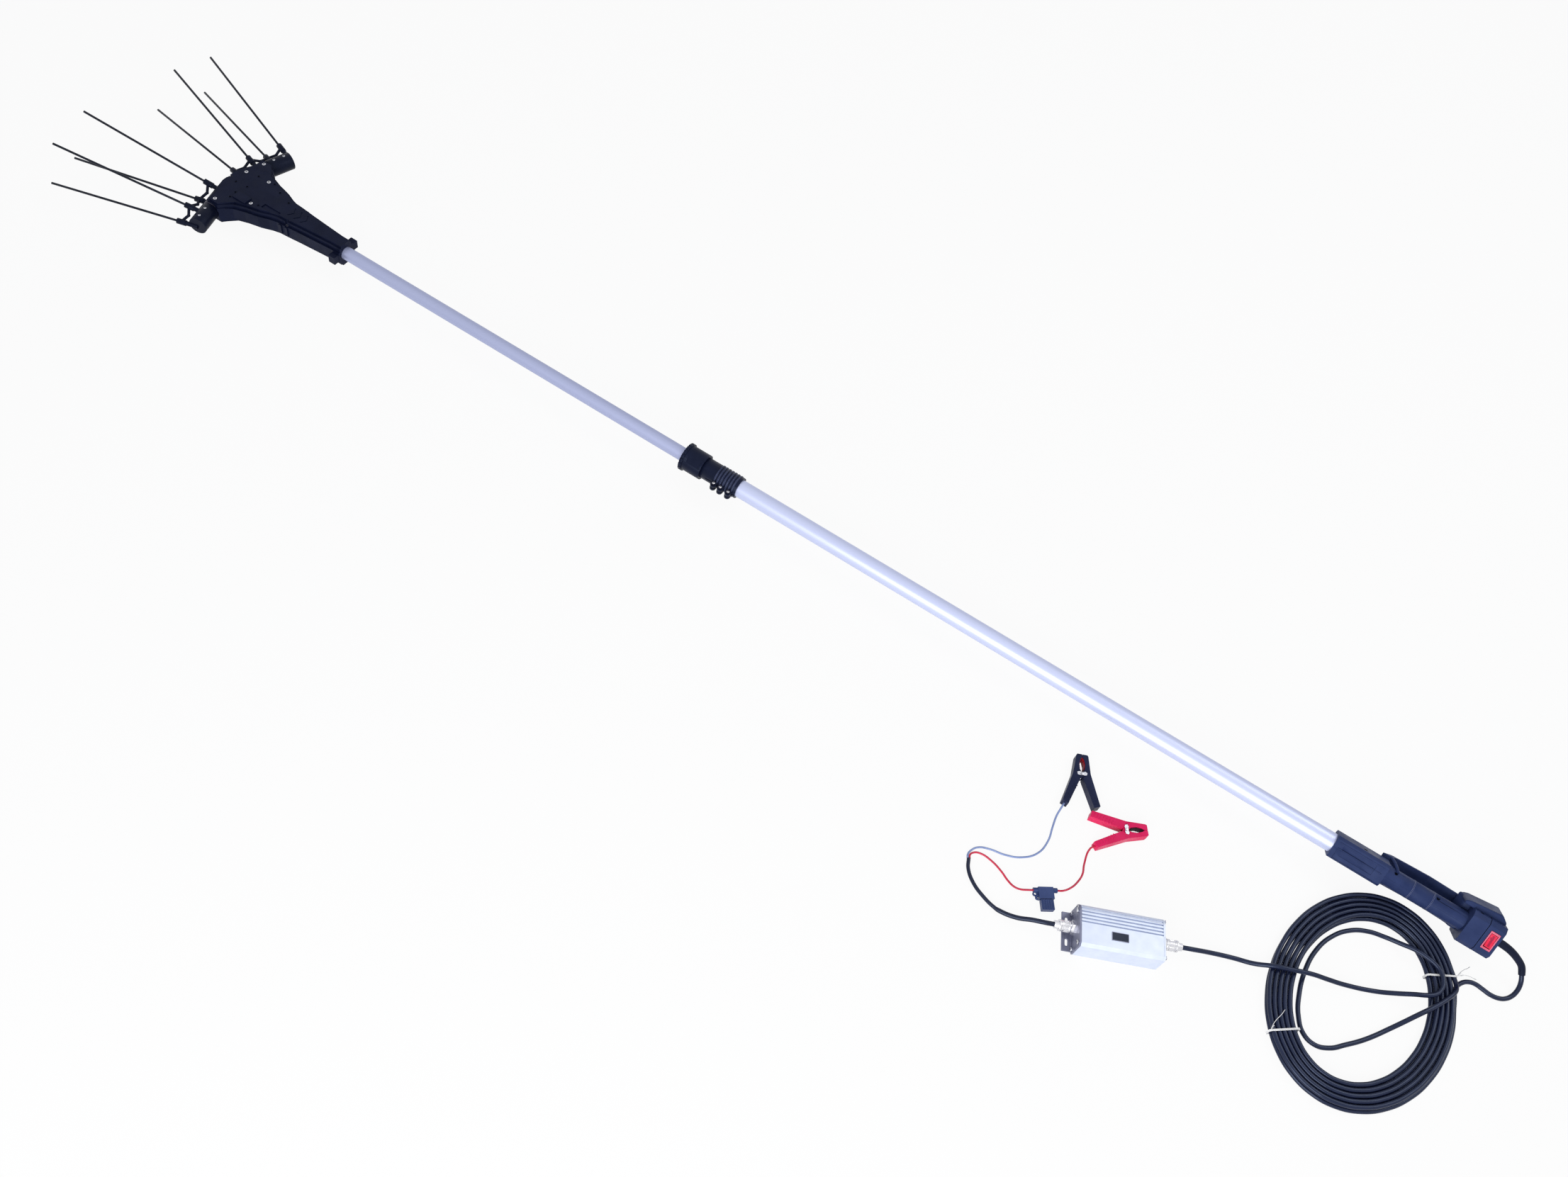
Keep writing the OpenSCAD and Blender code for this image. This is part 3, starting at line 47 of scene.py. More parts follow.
# Camera, at the photograph's place
PHOTO_WIDTH = 2212
FOCAL_PIXELS = 1960
SENSOR_WIDTH = 36
CAMERA_FAR = 50
CAMERA_AT = Vector((0.689, 1.3635, 1.914))
CAMERA_RIGHT = Vector((-0.83925, -0.52251, 0.15048))
CAMERA_AHEAD = Vector((0.1835, -0.53267, -0.82619))


def add_camera():
    data = bpy.data.cameras.new("camera")
    data.sensor_width = SENSOR_WIDTH
    data.lens = FOCAL_PIXELS / PHOTO_WIDTH * SENSOR_WIDTH
    data.clip_end = CAMERA_FAR
    camera = bpy.data.objects.new("camera", data)
    back = -CAMERA_AHEAD.normalized()
    right = (CAMERA_RIGHT - CAMERA_RIGHT.dot(back) * back).normalized()
    turn = Matrix((right, back.cross(right), back)).transposed()
    camera.matrix_world = Matrix.Translation(CAMERA_AT) @ turn.to_4x4()
    bpy.context.scene.collection.objects.link(camera)
    bpy.context.scene.camera = camera


# Shader nodes; an owner is a material or the world
def shader(name, roughness, metallic=0.0, **sockets):
    """A new material with its principled shader set; sockets holds further inputs by name."""
    material = bpy.data.materials.new(name)
    material.use_nodes = True
    bsdf = material.node_tree.nodes["Principled BSDF"]
    bsdf.inputs["Roughness"].default_value = roughness
    bsdf.inputs["Metallic"].default_value = metallic
    for key, value in sockets.items():
        bsdf.inputs[key.replace("_", " ")].default_value = value
    return material


def add_node(owner, kind, **values):
    node = owner.node_tree.nodes.new(kind)
    for key, value in values.items():
        node.inputs[key.replace("_", " ")].default_value = value
    return node


def link(owner, a, out, b, into):
    owner.node_tree.links.new(a.outputs[out], b.inputs[into])


NOISE_DETAIL = 4
NOISE_SPAN = (0.3, 0.7)
EVEN = (1, 1, 1)


def noise_field(material, scale, stretch):
    """Noise in object space; stretch sets its scale along each axis."""
    place = add_node(material, "ShaderNodeTexCoord")
    mapping = add_node(material, "ShaderNodeMapping", Scale=stretch)
    field = add_node(material, "ShaderNodeTexNoise", Scale=scale, Detail=NOISE_DETAIL)
    link(material, place, "Object", mapping, "Vector")
    link(material, mapping, "Vector", field, "Vector")
    return field


def mottle(material, low, high, scale, stretch=EVEN):
    """Base colour that drifts between two near colours."""
    bsdf = material.node_tree.nodes["Principled BSDF"]
    colours = add_node(material, "ShaderNodeValToRGB")
    for element, at, colour in zip(colours.color_ramp.elements, NOISE_SPAN, (low, high)):
        element.position = at
        element.color = (*colour, 1)
    link(material, noise_field(material, scale, stretch), "Fac", colours, "Fac")
    link(material, colours, "Color", bsdf, "Base Color")


def smudge(material, low, high, scale, stretch=EVEN):
    """Roughness that drifts between two values, as on a handled surface."""
    bsdf = material.node_tree.nodes["Principled BSDF"]
    spread = add_node(material, "ShaderNodeMapRange", From_Min=NOISE_SPAN[0], From_Max=NOISE_SPAN[1],
                      To_Min=low, To_Max=high)
    link(material, noise_field(material, scale, stretch), "Fac", spread, "Value")
    link(material, spread, "Result", bsdf, "Roughness")


def grain(material, scale, depth, strength, stretch=EVEN):
    """Fine relief: moulding grain or brushing."""
    bsdf = material.node_tree.nodes["Principled BSDF"]
    bump = add_node(material, "ShaderNodeBump", Strength=strength, Distance=depth)
    link(material, noise_field(material, scale, stretch), "Fac", bump, "Height")
    link(material, bump, "Normal", bsdf, "Normal")


# Noise scales per metre, and how far the roughness drifts down and up
PLASTIC_MOTTLE = 38
PLASTIC_SMUDGE = 55
PLASTIC_GRAIN = 1500
PLASTIC_RELIEF = 0.5
PLASTIC_DRIFT = (0.07, 0.1)
PLASTIC_TINT = (0.62, 0.74, 1, 1)
METAL_MOTTLE = 60
METAL_SMUDGE = 102
METAL_GRAIN = 720
METAL_RELIEF = 0.2
METAL_DRIFT = (0.04, 0.06)


def plastic(name, low, high, roughness=0.42, gloss=0.14, depth=0.00012):
    material = shader(name, roughness, Specular_IOR_Level=gloss, Specular_Tint=PLASTIC_TINT)
    mottle(material, low, high, PLASTIC_MOTTLE)
    smudge(material, roughness - PLASTIC_DRIFT[0], roughness + PLASTIC_DRIFT[1], PLASTIC_SMUDGE)
    grain(material, PLASTIC_GRAIN, depth, PLASTIC_RELIEF)
    return material


def metal(name, low, high, roughness, metallic=1.0, stretch=EVEN, depth=0.00003):
    material = shader(name, roughness, metallic)
    mottle(material, low, high, METAL_MOTTLE, stretch)
    smudge(material, roughness - METAL_DRIFT[0], roughness + METAL_DRIFT[1], METAL_SMUDGE, stretch)
    grain(material, METAL_GRAIN, depth, METAL_RELIEF, stretch)
    return material


# Two near colours, roughness, gloss and depth of grain
PLASTICS = {
    "head_plastic": ((0.0045, 0.0065, 0.022), (0.008, 0.011, 0.034), 0.42, 0.1),
    "comb_plastic": ((0.004, 0.0055, 0.016), (0.007, 0.009, 0.024), 0.36),
    "handle_plastic": ((0.019, 0.031, 0.098), (0.030, 0.046, 0.132), 0.45),
    "clamp_plastic": ((0.004, 0.006, 0.020), (0.008, 0.011, 0.032), 0.36, 0.16),
    "trigger_plastic": ((0.009, 0.012, 0.034), (0.015, 0.019, 0.05), 0.38),
    # Light slate for thin lines on seam and rib edges: painted highlight where the edges catch the light
    "painted_edge_highlight": ((0.10, 0.12, 0.24), (0.20, 0.23, 0.40), 0.4, 0.3),
    "carbon": ((0.003, 0.003, 0.006), (0.010, 0.010, 0.016), 0.34, 0.3, 0.00006),
    "cord_black": ((0.005, 0.008, 0.028), (0.009, 0.013, 0.040), 0.25, 0.42, 0.000006),
    "boot_rubber": ((0.006, 0.008, 0.022), (0.011, 0.014, 0.034), 0.5),
    "sheath_black": ((0.004, 0.006, 0.02), (0.008, 0.010, 0.030), 0.26, 0.42, 0.000006),
    "wire_grey": ((0.22, 0.29, 0.54), (0.29, 0.37, 0.64), 0.32, 0.5),
    "wire_red": ((0.55, 0.016, 0.045), (0.68, 0.03, 0.07), 0.32, 0.5),
    "tie_white": ((0.86, 0.86, 0.86), (0.93, 0.93, 0.93), 0.5),
    "nylon": ((0.72, 0.71, 0.68), (0.80, 0.79, 0.76), 0.5),
    "label": ((0.004, 0.005, 0.012), (0.007, 0.008, 0.018), 0.3, 0.4),
    # Near black: painted shade in screw holes, screw slots and head holes, and the dark joint round the
    # handle's end cap
    "painted_shade_and_seam_black": ((0.001, 0.001, 0.003), (0.002, 0.002, 0.005), 0.8, 0.05),
    "board": ((0.01, 0.09, 0.035), (0.015, 0.12, 0.05), 0.4),
    "fuse_blue": ((0.026, 0.044, 0.140), (0.040, 0.064, 0.19), 0.36, 0.35),
    "blade_amber": ((0.72, 0.30, 0.03), (0.82, 0.38, 0.05), 0.25, 0.5),
    "clip_black": ((0.010, 0.013, 0.040), (0.017, 0.022, 0.060), 0.38),
    "clip_red": ((0.68, 0.005, 0.080), (0.80, 0.011, 0.120), 0.38, 0.25),
    "jaw_red": ((0.30, 0.006, 0.012), (0.42, 0.012, 0.02), 0.4),
    "jaw_dark": ((0.030, 0.004, 0.010), (0.055, 0.008, 0.016), 0.5),
    "rocker_red": ((0.80, 0.012, 0.050), (0.90, 0.022, 0.075), 0.22, 0.5),
    "rocker_dark": ((0.36, 0.004, 0.035), (0.46, 0.008, 0.05), 0.3, 0.4),
    "bezel_pink": ((0.72, 0.10, 0.17), (0.82, 0.16, 0.24), 0.2, 0.6),
}
# Two near colours, roughness, how metallic, and the stretch and depth of the brushing
SATIN = 0.4
ALONG_X = (0.02, 1, 1)
METALS = {
    "pole_outer": ((0.60, 0.65, 0.90), (0.64, 0.69, 0.93), 0.4, SATIN, ALONG_X, 0.000005),
    "pole_inner": ((0.42, 0.46, 0.69), (0.46, 0.50, 0.73), 0.42, SATIN, ALONG_X, 0.000005),
    "box_metal": ((0.64, 0.70, 0.85), (0.70, 0.76, 0.90), 0.42, SATIN),
    "plate_grey": ((0.17, 0.18, 0.27), (0.23, 0.24, 0.33), 0.42, 0.6),
    "nickel": ((0.66, 0.66, 0.70), (0.76, 0.76, 0.79), 0.22, 0.9),
    "steel": ((0.50, 0.51, 0.56), (0.60, 0.61, 0.66), 0.28),
    "dark_steel": ((0.03, 0.03, 0.05), (0.06, 0.06, 0.08), 0.4),
}


def make_materials():
    made = {name: plastic(name, *look) for name, look in PLASTICS.items()}
    made.update({name: metal(name, *look) for name, look in METALS.items()})
    return made


def skin(obj, material):
    obj.data.materials.clear()
    obj.data.materials.append(material)
    return obj


# The material of each node that shows, and the rounding of its edges in millimetres
NODE_LOOKS = {
    "outer_tube": ("pole_outer", 0), "inner_tube": ("pole_inner", 0), "guide_bush": ("nylon", 0),
    "clamp_sleeve": ("clamp_plastic", 0.4), "clamp_collet": ("nylon", 0),
    "lock_collar": ("clamp_plastic", 0.6), "clamp_screws": ("dark_steel", 0.4),
    "handle_upper_shell": ("handle_plastic", 0.5), "handle_lower_shell": ("handle_plastic", 0.5),
    "finger_guard": ("handle_plastic", 3), "handle_end_cap": ("handle_plastic", 1),
    # The handle's screws are near black: painted shade for their deep holes
    "handle_screws": ("painted_shade_and_seam_black", 0.3), "trigger": ("trigger_plastic", 1.2), "trigger_switch": ("label", 0.3),
    "switch_body": ("label", 0.3), "switch_bezel": ("bezel_pink", 0.6), "rocker": ("rocker_red", 0.6),
    "head_upper_shell": ("head_plastic", 0.8), "head_lower_shell": ("head_plastic", 0.8),
    "head_screws": ("steel", 0.4), "motor": ("steel", 0.5), "gearbox": ("steel", 0.5),
    "crank": ("steel", 0.3), "crank_bearing": ("steel", 0.3), "comb_bushes": ("dark_steel", 0.3),
    "left_comb": ("comb_plastic", 0.5), "left_tines": ("carbon", 0.3), "left_shaft": ("steel", 0.3),
    "right_comb": ("comb_plastic", 0.5), "right_tines": ("carbon", 0.3), "right_shaft": ("steel", 0.3),
    "box_extrusion": ("box_metal", 0.4), "box_left_plate": ("plate_grey", 0.5),
    "box_right_plate": ("box_metal", 0.5), "box_screws": ("steel", 0.4), "circuit_board": ("board", 0),
    "label_plate": ("label", 0.15), "battery_connector": ("nickel", 0.4), "pole_connector": ("nickel", 0.4),
    "fuse_holder": ("fuse_blue", 0.8), "fuse_cap": ("fuse_blue", 0.8), "blade_fuse": ("blade_amber", 0.3),
    "black_clip_fixed": ("clip_black", 1), "black_clip_jaw": ("clip_black", 1),
    "black_clip_pivot": ("steel", 0), "red_clip_fixed": ("clip_red", 1), "red_clip_jaw": ("clip_red", 1),
    "red_clip_pivot": ("steel", 0),
}
WELD_DISTANCE = 0.00002
BEVEL_ANGLE = math.radians(32)
BEVEL_STEPS = 2


def round_edges(obj, rounding):
    weld = obj.modifiers.new("weld", "WELD")
    weld.merge_threshold = WELD_DISTANCE
    bevel = obj.modifiers.new("rounding", "BEVEL")
    bevel.width = rounding * MM
    bevel.segments = BEVEL_STEPS
    bevel.limit_method = "ANGLE"
    bevel.angle_limit = BEVEL_ANGLE
    bevel.harden_normals = True


def dress_nodes(skins):
    for node, (look, rounding) in NODE_LOOKS.items():
        obj = skin(NODES[node], skins[look])
        if rounding:
            round_edges(obj, rounding)


# Shapes: lists of points in millimetres and of faces
def join(*shapes):
    verts = []
    faces = []
    for more, sides in shapes:
        faces += [[k + len(verts) for k in side] for side in sides]
        verts += [Vector(v) for v in more]
    return verts, faces


def moved(shape, into):
    return [into @ Vector(v) for v in shape[0]], shape[1]


def ring_faces(rings, sides, closed=False):
    faces = []
    for i in range(rings if closed else rings - 1):
        j = (i + 1) % rings
        for k in range(sides):
            n = (k + 1) % sides
            faces.append([i * sides + k, i * sides + n, j * sides + n, j * sides + k])
    if not closed:
        faces.append(list(range(sides))[::-1])
        faces.append(list(range((rings - 1) * sides, rings * sides)))
    return faces


def lathe(profile, sides, teeth=0, depth=0):
    """A form turned round z, from (radius, height) pairs; teeth are cut into its rim."""
    verts = []
    for radius, height in profile:
        for k in range(sides):
            cut = depth if teeth and k * teeth * 2 // sides % 2 else 0
            t = 2 * math.pi * k / sides
            verts.append(((radius - cut) * math.cos(t), (radius - cut) * math.sin(t), height))
    return verts, ring_faces(len(profile), sides)


def prism(outline, low, high):
    verts = [(*p, low) for p in outline] + [(*p, high) for p in outline]
    return verts, ring_faces(2, len(outline))


def slab(x, y, z):
    """A block between two values along each axis."""
    return prism([(x[0], y[0]), (x[1], y[0]), (x[1], y[1]), (x[0], y[1])], *z)


def sweep(path, radii, sides, closed=False):
    """A tube along a path, with a radius at each point."""
    points = [Vector(p) for p in path]
    count = len(points)
    side = None
    verts = []
    for i, point in enumerate(points):
        before = points[i - 1] if i or closed else point
        after = points[(i + 1) % count] if i < count - 1 or closed else point
        way = (after - before).normalized()
        side = side or way.orthogonal()
        side = (side - side.dot(way) * way).normalized()
        other = way.cross(side)
        for k in range(sides):
            t = 2 * math.pi * k / sides
            verts.append(point + radii[i] * (math.cos(t) * side + math.sin(t) * other))
    return verts, ring_faces(count, sides, closed)


EASE_STEPS = 6


def eased(points):
    """More points on a smooth line through a few."""
    spots = [Vector(p) for p in points]
    line = []
    for i in range(len(spots) - 1):
        a = spots[max(i - 1, 0)]
        b = spots[i]
        c = spots[i + 1]
        d = spots[min(i + 2, len(spots) - 1)]
        for k in range(EASE_STEPS):
            u = k / EASE_STEPS
            line.append(b + (c - a) * u / 2 + (2 * a - 5 * b + 4 * c - d) * u * u / 2
                        + (3 * b - a - 3 * c + d) * u ** 3 / 2)
    return line + [spots[-1]]


def stepped(radii, count):
    """Radii for each of the points that eased() gives, from the radii at the few."""
    last = len(radii) - 1
    spread = []
    for i in range(count):
        u = i / (count - 1) * last
        k = min(int(u), last - 1)
        spread.append(radii[k] + (radii[k + 1] - radii[k]) * (u - k))
    return spread


def horn(points, radii, sides):
    """A smooth tube through a few points, with a radius at each of them."""
    line = eased(points)
    return sweep(line, stepped(radii, len(line)), sides)


def add_piece(name, shape, material, body, rounding=0, into=Matrix()):
    """A mesh piece from a shape in a frame of its own, riding on a body."""
    form = bmesh.new()
    corners = [form.verts.new((into @ Vector(v)) * MM) for v in shape[0]]
    for side in shape[1]:
        form.faces.new([corners[k] for k in side])
    bmesh.ops.recalc_face_normals(form, faces=form.faces)
    for face in form.faces:
        face.smooth = True
    for edge in form.edges:
        edge.smooth = edge.calc_face_angle(0) < BEVEL_ANGLE
    mesh = bpy.data.meshes.new(name)
    form.to_mesh(mesh)
    form.free()
    obj = bpy.data.objects.new(name, mesh)
    bpy.context.scene.collection.objects.link(obj)
    skin(obj, material)
    if rounding:
        round_edges(obj, rounding)
    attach(obj, body)
    return obj


def turned(degrees, axis):
    return Matrix.Rotation(math.radians(degrees), 4, axis)


def placed(x, y, z=0):
    return Matrix.Translation((x, y, z))


# Cords, along the same routes as their solids, in millimetres above the floor
CORD_D = 7.5
COIL_AT = (20, 194)
COIL_HALF = (141, 183)
COIL_TILT = -7.5
COIL_LOOPS = 10
COIL_RINGS = 24
COIL_GAP = 0.65
COIL_LIFT = 1.3
COIL_PITCH = CORD_D + COIL_GAP
COIL_BASE = CORD_D / 2 + COIL_LIFT
COIL_START = 212.5
COIL_END = 227.5
# Share of a loop over which the strand climbs to the upper layer
COIL_CLIMB = 0.5
HANDLE_ROUTE = [
    (-185, 13, 23), (-189.6, 19.6, 16.9), (-191.6, 28.2, 12), (-190.6, 37.6, 8.3), (-186.8, 46.7, 5.9),
    (-180.5, 54.5, 4.6), (-172, 60, 4.2), (-158, 63, 4.2), (-144, 61.5, 4.2), (-131.8, 60.5, 4.3),
    (-121.4, 63.7, 4.4), (-111.4, 72.8, 4.6), (-106.2, 85.6, 4.8),
]
BOX_ROUTE = [
    (-99.6, 85.5, 15.4), (-101.6, 94, 18.4), (-100.6, 103, 21.4), (-94.5, 118, 22.7), (-78, 147, 22.5),
    (-61, 172, 19.5), (-36, 208, 6.5), (-6, 249, 4), (17, 274, 4), (38, 294, 4), (59, 302, 4),
    (79, 296, 4), (94, 276, 4), (105, 242, 4), (109.5, 200, 4), (105.5, 160, 4), (91.5, 124, 4),
    (69, 96, 4), (43, 80, 4), (18, 73.5, 5), (-6, 72.5, 11), (-28, 74, 20), (-48, 77, 22.8),
    (-63, 81, 22.8), (-73.4, 89, 22.8), (-79.3, 100.5, 22.8), (-80, 113, 22.8), (-75, 125.2, 22.8),
    (-64.5, 134.6, 22.4), (-46, 144.5, 19.5), (-24, 155, 11.5), (2, 167, 5.2), (48, 187, 6.5),
    (78, 200, 14.5), (102, 210, 21.2), (130, 222, 22.8), (157, 233, 21.4), (184, 242, 9.5),
    (213, 250, 5), (245, 265, 10),
]
SHEATH_ROUTE = [
    (502, 385, 18), (526, 393, 10), (552, 396, 4.8), (560, 395.5, 4.2), (582, 390, 4), (606, 379, 4),
    (623, 363, 4), (630, 348, 4),
]
GREY_ROUTE = [
    (631.6, 348.7, 4), (634, 343.5, 3.6), (633, 333, 1.9), (626, 322, 1.9), (610, 314, 1.9),
    (585, 308, 1.9), (561, 296, 1.9), (543, 275, 1.9), (538, 247, 1.9), (542.5, 219, 1.9),
    (545.5, 199, 3.4),
]
RED_LONG_ROUTE = [
    (628.5, 347.3, 4), (630.9, 342.1, 3.6), (628, 334, 1.9), (619, 329, 1.9), (598, 329.5, 1.9),
    (577, 336, 1.9), (562, 343.5, 2.4), (550, 347, 3.2), (540, 346, 4.6),
]
RED_SHORT_ROUTE = [(474, 296, 3.4), (469, 280, 1.9), (468, 264, 1.9), (473, 247, 2.4)]
SHEATH_R = 3.7
SHEATH_THIN_R = 3
SHEATH_STEP = 5
WIRE_R = 1.6
CORD_LEAD = 14
WIRE_LEAD = 9
BOX_AT = (382.7, 333)
BOX_TURN = 24.5
PLUG_TIP = 99.5
PLUG_Z = 22
FUSE_AT = (506.5, 325)
FUSE_TURN = 33.7
FUSE_Z = 5.5
FUSE_HALF = 19
CLIP_H = 16
CLIP_HANDLE = 60
CLIP_SPREAD = 26
BLACK_CLIP = (543, 115, -66)
RED_CLIP = (442, 161, 214)
CURVE_STEPS = 6
CURVE_BEVEL_STEPS = 4


def lead(at, turn, tip, reach, height):
    """Where a cord leaves something: its tip at a run from a place, and a point straight out of it."""
    t = math.radians(turn)
    return [(at[0] + run * math.cos(t), at[1] + run * math.sin(t), height) for run in (tip, tip + reach)]


def box_lead(turn):
    return lead(BOX_AT, BOX_TURN + turn, PLUG_TIP, CORD_LEAD, PLUG_Z)


def fuse_lead(turn):
    return lead(FUSE_AT, FUSE_TURN + turn, FUSE_HALF, WIRE_LEAD, FUSE_Z)


def clip_lead(clip, side):
    return lead(clip, clip[2] + side * (180 - CLIP_SPREAD), CLIP_HANDLE, WIRE_LEAD, CLIP_H / 2)


COIL_COUNT = round((360 * COIL_LOOPS - (COIL_END - COIL_START)) / 360 * COIL_RINGS)


def coil_spot(t, inset=0):
    """Place on the coil's tilted oval, at an angle and a distance in from its outer strand."""
    x = (COIL_HALF[0] - inset) * math.cos(t)
    y = (COIL_HALF[1] - inset) * math.sin(t)
    c = math.cos(math.radians(COIL_TILT))
    s = math.sin(math.radians(COIL_TILT))
    return (COIL_AT[0] + x * c - y * s, COIL_AT[1] + x * s + y * c)


def coil_route():
    """Two layers of loops: spiralling in along the floor, then out again on top."""
    turns = COIL_COUNT / COIL_RINGS
    points = []
    for i in range(COIL_COUNT + 1):
        t = math.radians(COIL_START - 360 / COIL_RINGS * i)
        inset = COIL_PITCH * min(i, COIL_COUNT - i) / COIL_RINGS
        s = min(1, max(0, (i / COIL_RINGS - turns / 2) / COIL_CLIMB + 1 / 2))
        height = COIL_BASE + COIL_PITCH * s * s * (3 - 2 * s)
        points.append((*coil_spot(t, inset), height))
    return points


# Wire ties: place round the coil, then the turn and the drop of each tail
RIGHT_TIE = (226, [(5, 17), (33, 16)])
LEFT_TIE = (52, [(224, 0)])
TIE_R = 0.5
TIE_SIDES = 8
TIE_WRAPS = 3
TIE_PITCH = 1.05
TIE_GAP = 0.25
TIE_GAP_BELOW = 0.2
TIE_BEND = 3.5
TIE_BEND_STEPS = 5
TAIL_TUCK = 1
TAIL_LIFT = 0.6
TAIL_LEN = 42
TAIL_SWAY = 1.5
TAIL_WAVE = 5
TAIL_SHARES = (0, 0.25, 0.5, 0.75, 1)
TWIST_LEN = 9
TWIST_R = 0.7
TWIST_STEPS = 24
TWIST_STEP_TURN = 0.9


def wire(path, closed=False):
    return sweep(path, [TIE_R] * len(path), TIE_SIDES, closed)


def tie_wrap(aside, inner, outer, low, top):
    """One wrap: a rectangle with round corners, standing across the strands."""
    corners = [(outer, top), (inner, top), (inner, low), (outer, low)]
    loop = []
    for k, (x, z) in enumerate(corners):
        for step in range(TIE_BEND_STEPS + 1):
            t = math.radians(90 * (k + step / TIE_BEND_STEPS))
            loop.append((x + TIE_BEND * math.cos(t), aside, z + TIE_BEND * math.sin(t)))
    return wire(loop, True)


def tie_tail(start, turn, drop):
    """A loose end of the wire, and the twist at its root."""
    lean = turned(turn, "Z")
    twist = []
    for step in range(TWIST_STEPS + 1):
        t = step * TWIST_STEP_TURN
        run = TWIST_LEN * step / TWIST_STEPS
        twist.append(start + lean @ Vector((run, TWIST_R * math.cos(t), TAIL_LIFT + TWIST_R * math.sin(t))))
    tail = []
    for share in TAIL_SHARES:
        sway = TAIL_SWAY * math.sin(TAIL_WAVE * share)
        tail.append(start + lean @ Vector((TAIL_LEN * share, sway, TAIL_LIFT - drop * share * share)))
    return join(wire(twist), wire(eased(tail)))


def add_tie(name, node, tie, skins):
    """A white wire wound round the strands, twisted once and left with loose tails."""
    at = math.radians(tie[0])
    across = math.atan2(COIL_HALF[0] * math.sin(at), COIL_HALF[1] * math.cos(at))
    into = placed(*coil_spot(at), FLOOR_MM) @ turned(COIL_TILT + math.degrees(across), "Z")
    outer = CORD_D / 2 + TIE_GAP + TIE_R
    inner = -COIL_PITCH * COIL_COUNT / COIL_RINGS / 2 - outer
    low = COIL_BASE - CORD_D / 2 - TIE_GAP_BELOW - TIE_R
    top = COIL_BASE + COIL_PITCH + outer
    shapes = []
    for wrap in range(TIE_WRAPS):
        aside = (wrap - (TIE_WRAPS - 1) / 2) * TIE_PITCH
        shapes.append(tie_wrap(aside, inner + TIE_BEND, outer - TIE_BEND, low + TIE_BEND, top - TIE_BEND))
    start = Vector((outer - TAIL_TUCK, 0, top + TIE_R))
    for turn, drop in tie[1]:
        shapes.append(tie_tail(start, turn, drop))
    piece = add_piece(name, join(*shapes), skins["tie_white"], ROOT, into=into)
    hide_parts(node)
    return piece


def on_floor(place):
    """A place in millimetres above the floor, in metres in the shared frame."""
    return Vector(place) * MM + Vector((0, 0, FLOOR_Z))


def tube(name, route, radius, radii=None):
    """A curve of one smooth spline through a route given in millimetres above the floor."""
    data = bpy.data.curves.new(name, "CURVE")
    data.dimensions = "3D"
    data.bevel_depth = radius * MM
    data.bevel_resolution = CURVE_BEVEL_STEPS
    data.resolution_u = CURVE_STEPS
    data.use_fill_caps = True
    spline = data.splines.new("BEZIER")
    spline.bezier_points.add(len(route) - 1)
    for i, (point, place) in enumerate(zip(spline.bezier_points, route)):
        point.co = on_floor(place)
        point.handle_left_type = "AUTO"
        point.handle_right_type = "AUTO"
        if radii:
            point.radius = radii[i] / radius
    obj = bpy.data.objects.new(name, data)
    bpy.context.scene.collection.objects.link(obj)
    return obj


def lay_cord(name, route, radius, material, replaced, slot, radii=None, **facts):
    obj = skin(tube(name, route, radius, radii), material)
    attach(obj, ROOT)
    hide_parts(*replaced)
    return obj


def lay_cords(skins):
    ties = [
        add_tie("right_tie_wire", "right_tie", RIGHT_TIE, skins),
        add_tie("left_tie_wire", "left_tie", LEFT_TIE, skins),
    ]
    supply = HANDLE_ROUTE + coil_route() + BOX_ROUTE + box_lead(180)[::-1]
    lay_cord("supply_cord", supply, CORD_D / 2, skins["cord_black"],
             ("handle_cord", "cord_coil", "box_cord"), "cord", far_end="object", lay="coiled",
             with_pieces=ties)
    sheath = box_lead(0) + SHEATH_ROUTE
    radii = [SHEATH_R if i < SHEATH_STEP else SHEATH_THIN_R for i in range(len(sheath))]
    lay_cord("battery_lead", sheath, SHEATH_R, skins["sheath_black"], ("battery_sheath",), "cord",
             radii, far_end="bare")
    grey = GREY_ROUTE + clip_lead(BLACK_CLIP, 1)[::-1]
    lay_cord("grey_lead", grey, WIRE_R, skins["wire_grey"], ("grey_wire",), "grey_wire",
             far_end="connector", stiffness="limp",
             with_pieces=["black_clip_fixed", "black_clip_jaw", "black_clip_pivot"])
    red_long = RED_LONG_ROUTE + fuse_lead(0)[::-1]
    lay_cord("red_lead_to_fuse", red_long, WIRE_R, skins["wire_red"], ("red_wire_long",), "red_wire",
             far_end="fitting", stiffness="limp", with_pieces=["fuse_holder", "fuse_cap"])
    red_short = fuse_lead(180) + RED_SHORT_ROUTE + clip_lead(RED_CLIP, -1)[::-1]
    lay_cord("red_lead_to_clip", red_short, WIRE_R, skins["wire_red"], ("red_wire_short",), "red_wire",
             far_end="connector", stiffness="limp",
             with_pieces=["red_clip_fixed", "red_clip_jaw", "red_clip_pivot"])


BOOT_ROUTE = [
    (-123, 0, 48), (-135, 0, 48), (-149, 1, 46), (-163, 2.5, 40.5), (-177, 5.5, 32), (-185, 13, 23),
]
BOOT_RADII = (6.4, 6.4, 6.1, 5.8, 5.5, 5.2)
BOOT_SIDES = 24
BOOT_FLANGE = [(8, 0), (8.5, 0.5), (8.5, 2.2), (7.6, 3), (6.6, 3.4)]
BOOT_FLANGE_SIDES = 40
BOOT_X = -122


